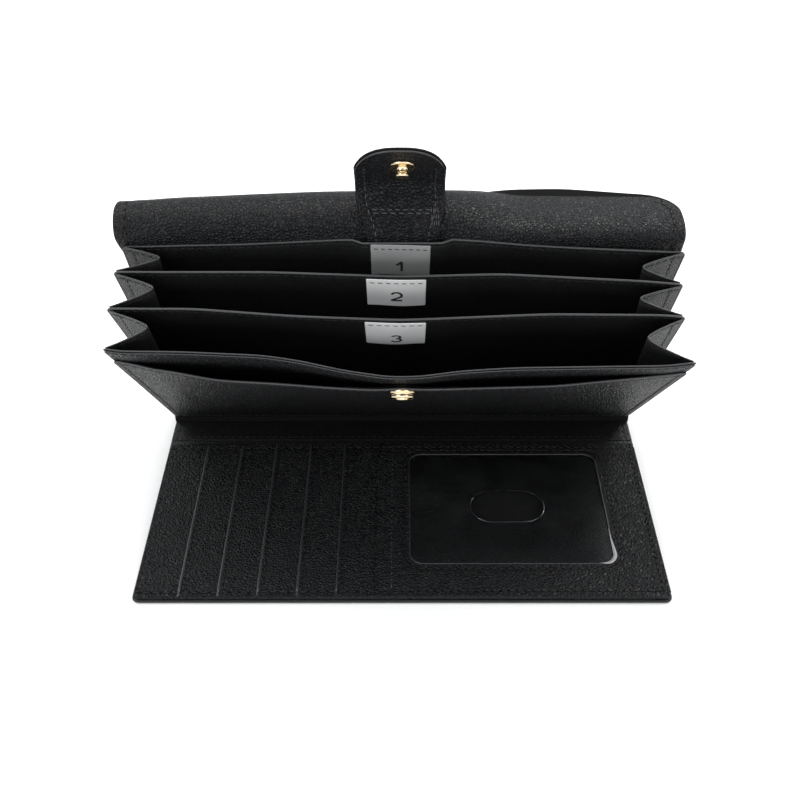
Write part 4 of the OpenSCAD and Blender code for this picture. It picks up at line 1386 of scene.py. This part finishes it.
def gusset_leaf(side, i, front):
    b = Build()
    k, sign = (i, 1) if front else (i - 1, -1)
    ts = LEAF_TS if front else -LEAF_TS[::-1]
    t, v, gaps, _ = grid(ts, lines(4.0, LEAF_TOP, start=False))
    groove = valley(gaps[3], 2.0, 0.18, 0.5) + valley(np.abs(t), 0.8, 0.18, 0.03)
    mid = gusset(side, i, t, v) + crease_rise(i, t, v)
    b.sheet(mid, GUSSET_T, gaps[3], relief=groove, under=-groove, top=GUSSET, norm=normals(mid) * -side,
            rim=gaps[3], rim_w=0.3, seam=groove)
    leaf_stitches(b, side, i, np.linspace(ts[0], ts[-1], 40) * 0.985, np.full(40, LEAF_TOP - 2.0))
    leaf_stitches(b, side, i, np.full(90, 0.8 * sign), np.linspace(8, LEAF_TOP - 2.4, 90))
    name = f"{'left' if side < 0 else 'right'}_{i}_{'front' if front else 'rear'}"
    obj = b.finish(f"leaf_{name}", PANEL_BODIES[k], [f"gusset_{name}"])
    pressed(obj, PANEL[k], rest_n(k) - (HALF_T[k] + GUSSET_GAP) * sign)


for side in SIDES:
    for i in (1, 2, 3):
        gusset_leaf(side, i, False)
        gusset_leaf(side, i, True)

# Snap: stud and cap on the tab, socket and eyelet on the slip pocket. Profiles are (radius, height).

CAP_LO, CAP_HI = TAB.span("snap_cap")
STUD_LO, STUD_HI = TAB.span("snap_stud")
STUD_V = (STUD_LO[1] + STUD_HI[1]) / 2
EYE_LO, EYE_HI = FRONT.span("socket_eyelet")


def brass_piece(name, body, node_name, plane, at, base, profile, rounds=2):
    b = Build()
    b.lathe(plane, *at, base, profile, rounds)
    b.finish(name, body, [node_name], 60)


def stud():
    r, h, flange = (STUD_HI[1] - STUD_LO[1]) / 2, STUD_HI[2] - STUD_LO[2], 1.3
    return [(0, 0), (r - 0.1, 0), (r, 0.35), (r - 0.15, 0.85), (r - 0.8, 1.1), (3.4, 0.95), (2.9, 1.15),
            (2.5, flange), (2.1, flange + 0.3), (2.0, flange + 1.1), (2.02, flange + 1.6),
            (2.26, flange + 2.0), (2.28, h - 0.65), (2.1, h - 0.2), (1.7, h), (0.8, h - 0.02), (0, h - 0.02)]


def cap():
    r, h = (CAP_HI[1] - CAP_LO[1]) / 2, CAP_HI[2] - CAP_LO[2]
    return [(0, 0), (r * 0.4, 0.08), (r * 0.75, 0.4), (r - 0.35, 0.95), (r, 1.3), (r - 0.1, 1.6),
            (1.2, 1.62), (1.2, h - 0.05), (0, h - 0.05)]


def socket():
    r, h = (SOCK_HI[1] - SOCK_LO[1]) / 2, SOCK_HI[2] - SOCK_LO[2]
    return [(2.85, 0), (r - 0.1, 0), (r, 0.25), (r, h * 0.3), (r - 0.2, h * 0.42), (r - 0.55, h * 0.5),
            (r - 0.5, h * 0.62), (r - 0.4, h * 0.8), (r - 0.7, h - 0.1), (r - 1.3, h), (2.95, h - 0.12),
            (2.5, h - 1.0), (2.38, 1.2), (2.85, 1.1), (2.85, 0)]


def eyelet():
    r, h = (EYE_HI[1] - EYE_LO[1]) / 2, EYE_HI[2] - EYE_LO[2]
    return [(0, 0), (r - 0.2, 0), (r, 0.25), (r - 0.2, 0.5), (2.78, 0.55), (2.78, h), (2.37, h),
            (2.36, 0.3), (0, 0.3)]


brass_piece("stud", "tab", "snap_stud", TAB, (0, STUD_V), STUD_LO[2], stud())
brass_piece("cap", "tab", "snap_cap", TAB, (0, STUD_V), CAP_LO[2], cap())
brass_piece("socket", "front", "snap_socket", FRONT, (SOCK_U, SOCK_V), SOCK_LO[2], socket())
brass_piece("eyelet", "front", "socket_eyelet", FRONT, (SOCK_U, SOCK_V), EYE_LO[2], eyelet(), 1)

# The one CAD node that stays in view
frame["nodes"]["accordion_base"].data.materials.clear()
frame["nodes"]["accordion_base"].data.materials.append(SUITE[LINING])

# Camera, floor and light, in metres

scene = bpy.context.scene


def add(name, data):
    obj = bpy.data.objects.new(name, data)
    scene.collection.objects.link(obj)
    return obj


def camera():
    data = bpy.data.cameras.new("camera")
    data.sensor_width, data.lens = 36, 49.95
    obj = add("camera", data)
    obj.location = (-0.0008, -0.330, 0.3184)
    obj.rotation_euler = (math.radians(90 - 37.84), 0, 0)
    scene.camera = obj


def pale_floor(half=6):
    mesh = bpy.data.meshes.new("floor")
    corners = [(-half, -half, 0), (half, -half, 0), (half, half, 0), (-half, half, 0)]
    mesh.from_pydata(corners, [], [(0, 1, 2, 3)])
    floor = add("floor", mesh)
    floor.location.z = -0.0002
    m, _, p, _ = new_material("floor")
    p["Base Color"].default_value = (0.86, 0.86, 0.86, 1)
    p["Roughness"].default_value = 0.9
    p["Specular IOR Level"].default_value = 0.1
    mesh.materials.append(m)


def studio():
    """White where the camera sees it, and softer where it lights the object."""
    world = bpy.data.worlds.new("studio")
    scene.world = world
    world.use_nodes = True
    t = world.node_tree
    t.nodes.clear()
    seen = node(t, "Background", 0, {"Strength": 1.0})
    soft = node(t, "Background", 0, {"Color": (0.96, 0.98, 1.0, 1), "Strength": 0.62})
    by_camera = node(t, "LightPath", "Is Camera Ray", {})
    out = t.nodes.new("ShaderNodeOutputWorld")
    put(t, out.inputs["Surface"], node(t, "MixShader", 0, {0: by_camera, 1: soft, 2: seen}))


def lamp(name, loc, aim, size, power):
    data = bpy.data.lights.new(name, "AREA")
    data.shape = "RECTANGLE"
    data.size, data.size_y = size
    data.energy = power
    obj = add(name, data)
    obj.location = loc
    obj.rotation_euler = Vector(np.subtract(aim, loc)).to_track_quat("-Z", "Y").to_euler()


camera()
pale_floor()
studio()
lamp("overhead", (0.0, 0.35, 1.1), (0, 0.02, 0.05), (1.2, 0.8), 10)
lamp("left_front", (-0.9, -0.7, 0.9), (0, 0, 0.03), (0.9, 0.9), 8)
lamp("right_front", (0.95, -0.6, 0.8), (0, 0, 0.03), (0.8, 0.8), 4)
lamp("front", (0.0, -1.3, 0.22), (0, 0.02, 0.09), (1.3, 0.4), 5)
lamp("right_back", (0.75, 0.75, 0.75), (0.05, -0.05, 0), (0.5, 0.5), 7)
lamp("left_back", (-0.85, 0.7, 0.7), (-0.05, -0.05, 0), (0.5, 0.5), 3)
scene.view_settings.view_transform = "Standard"
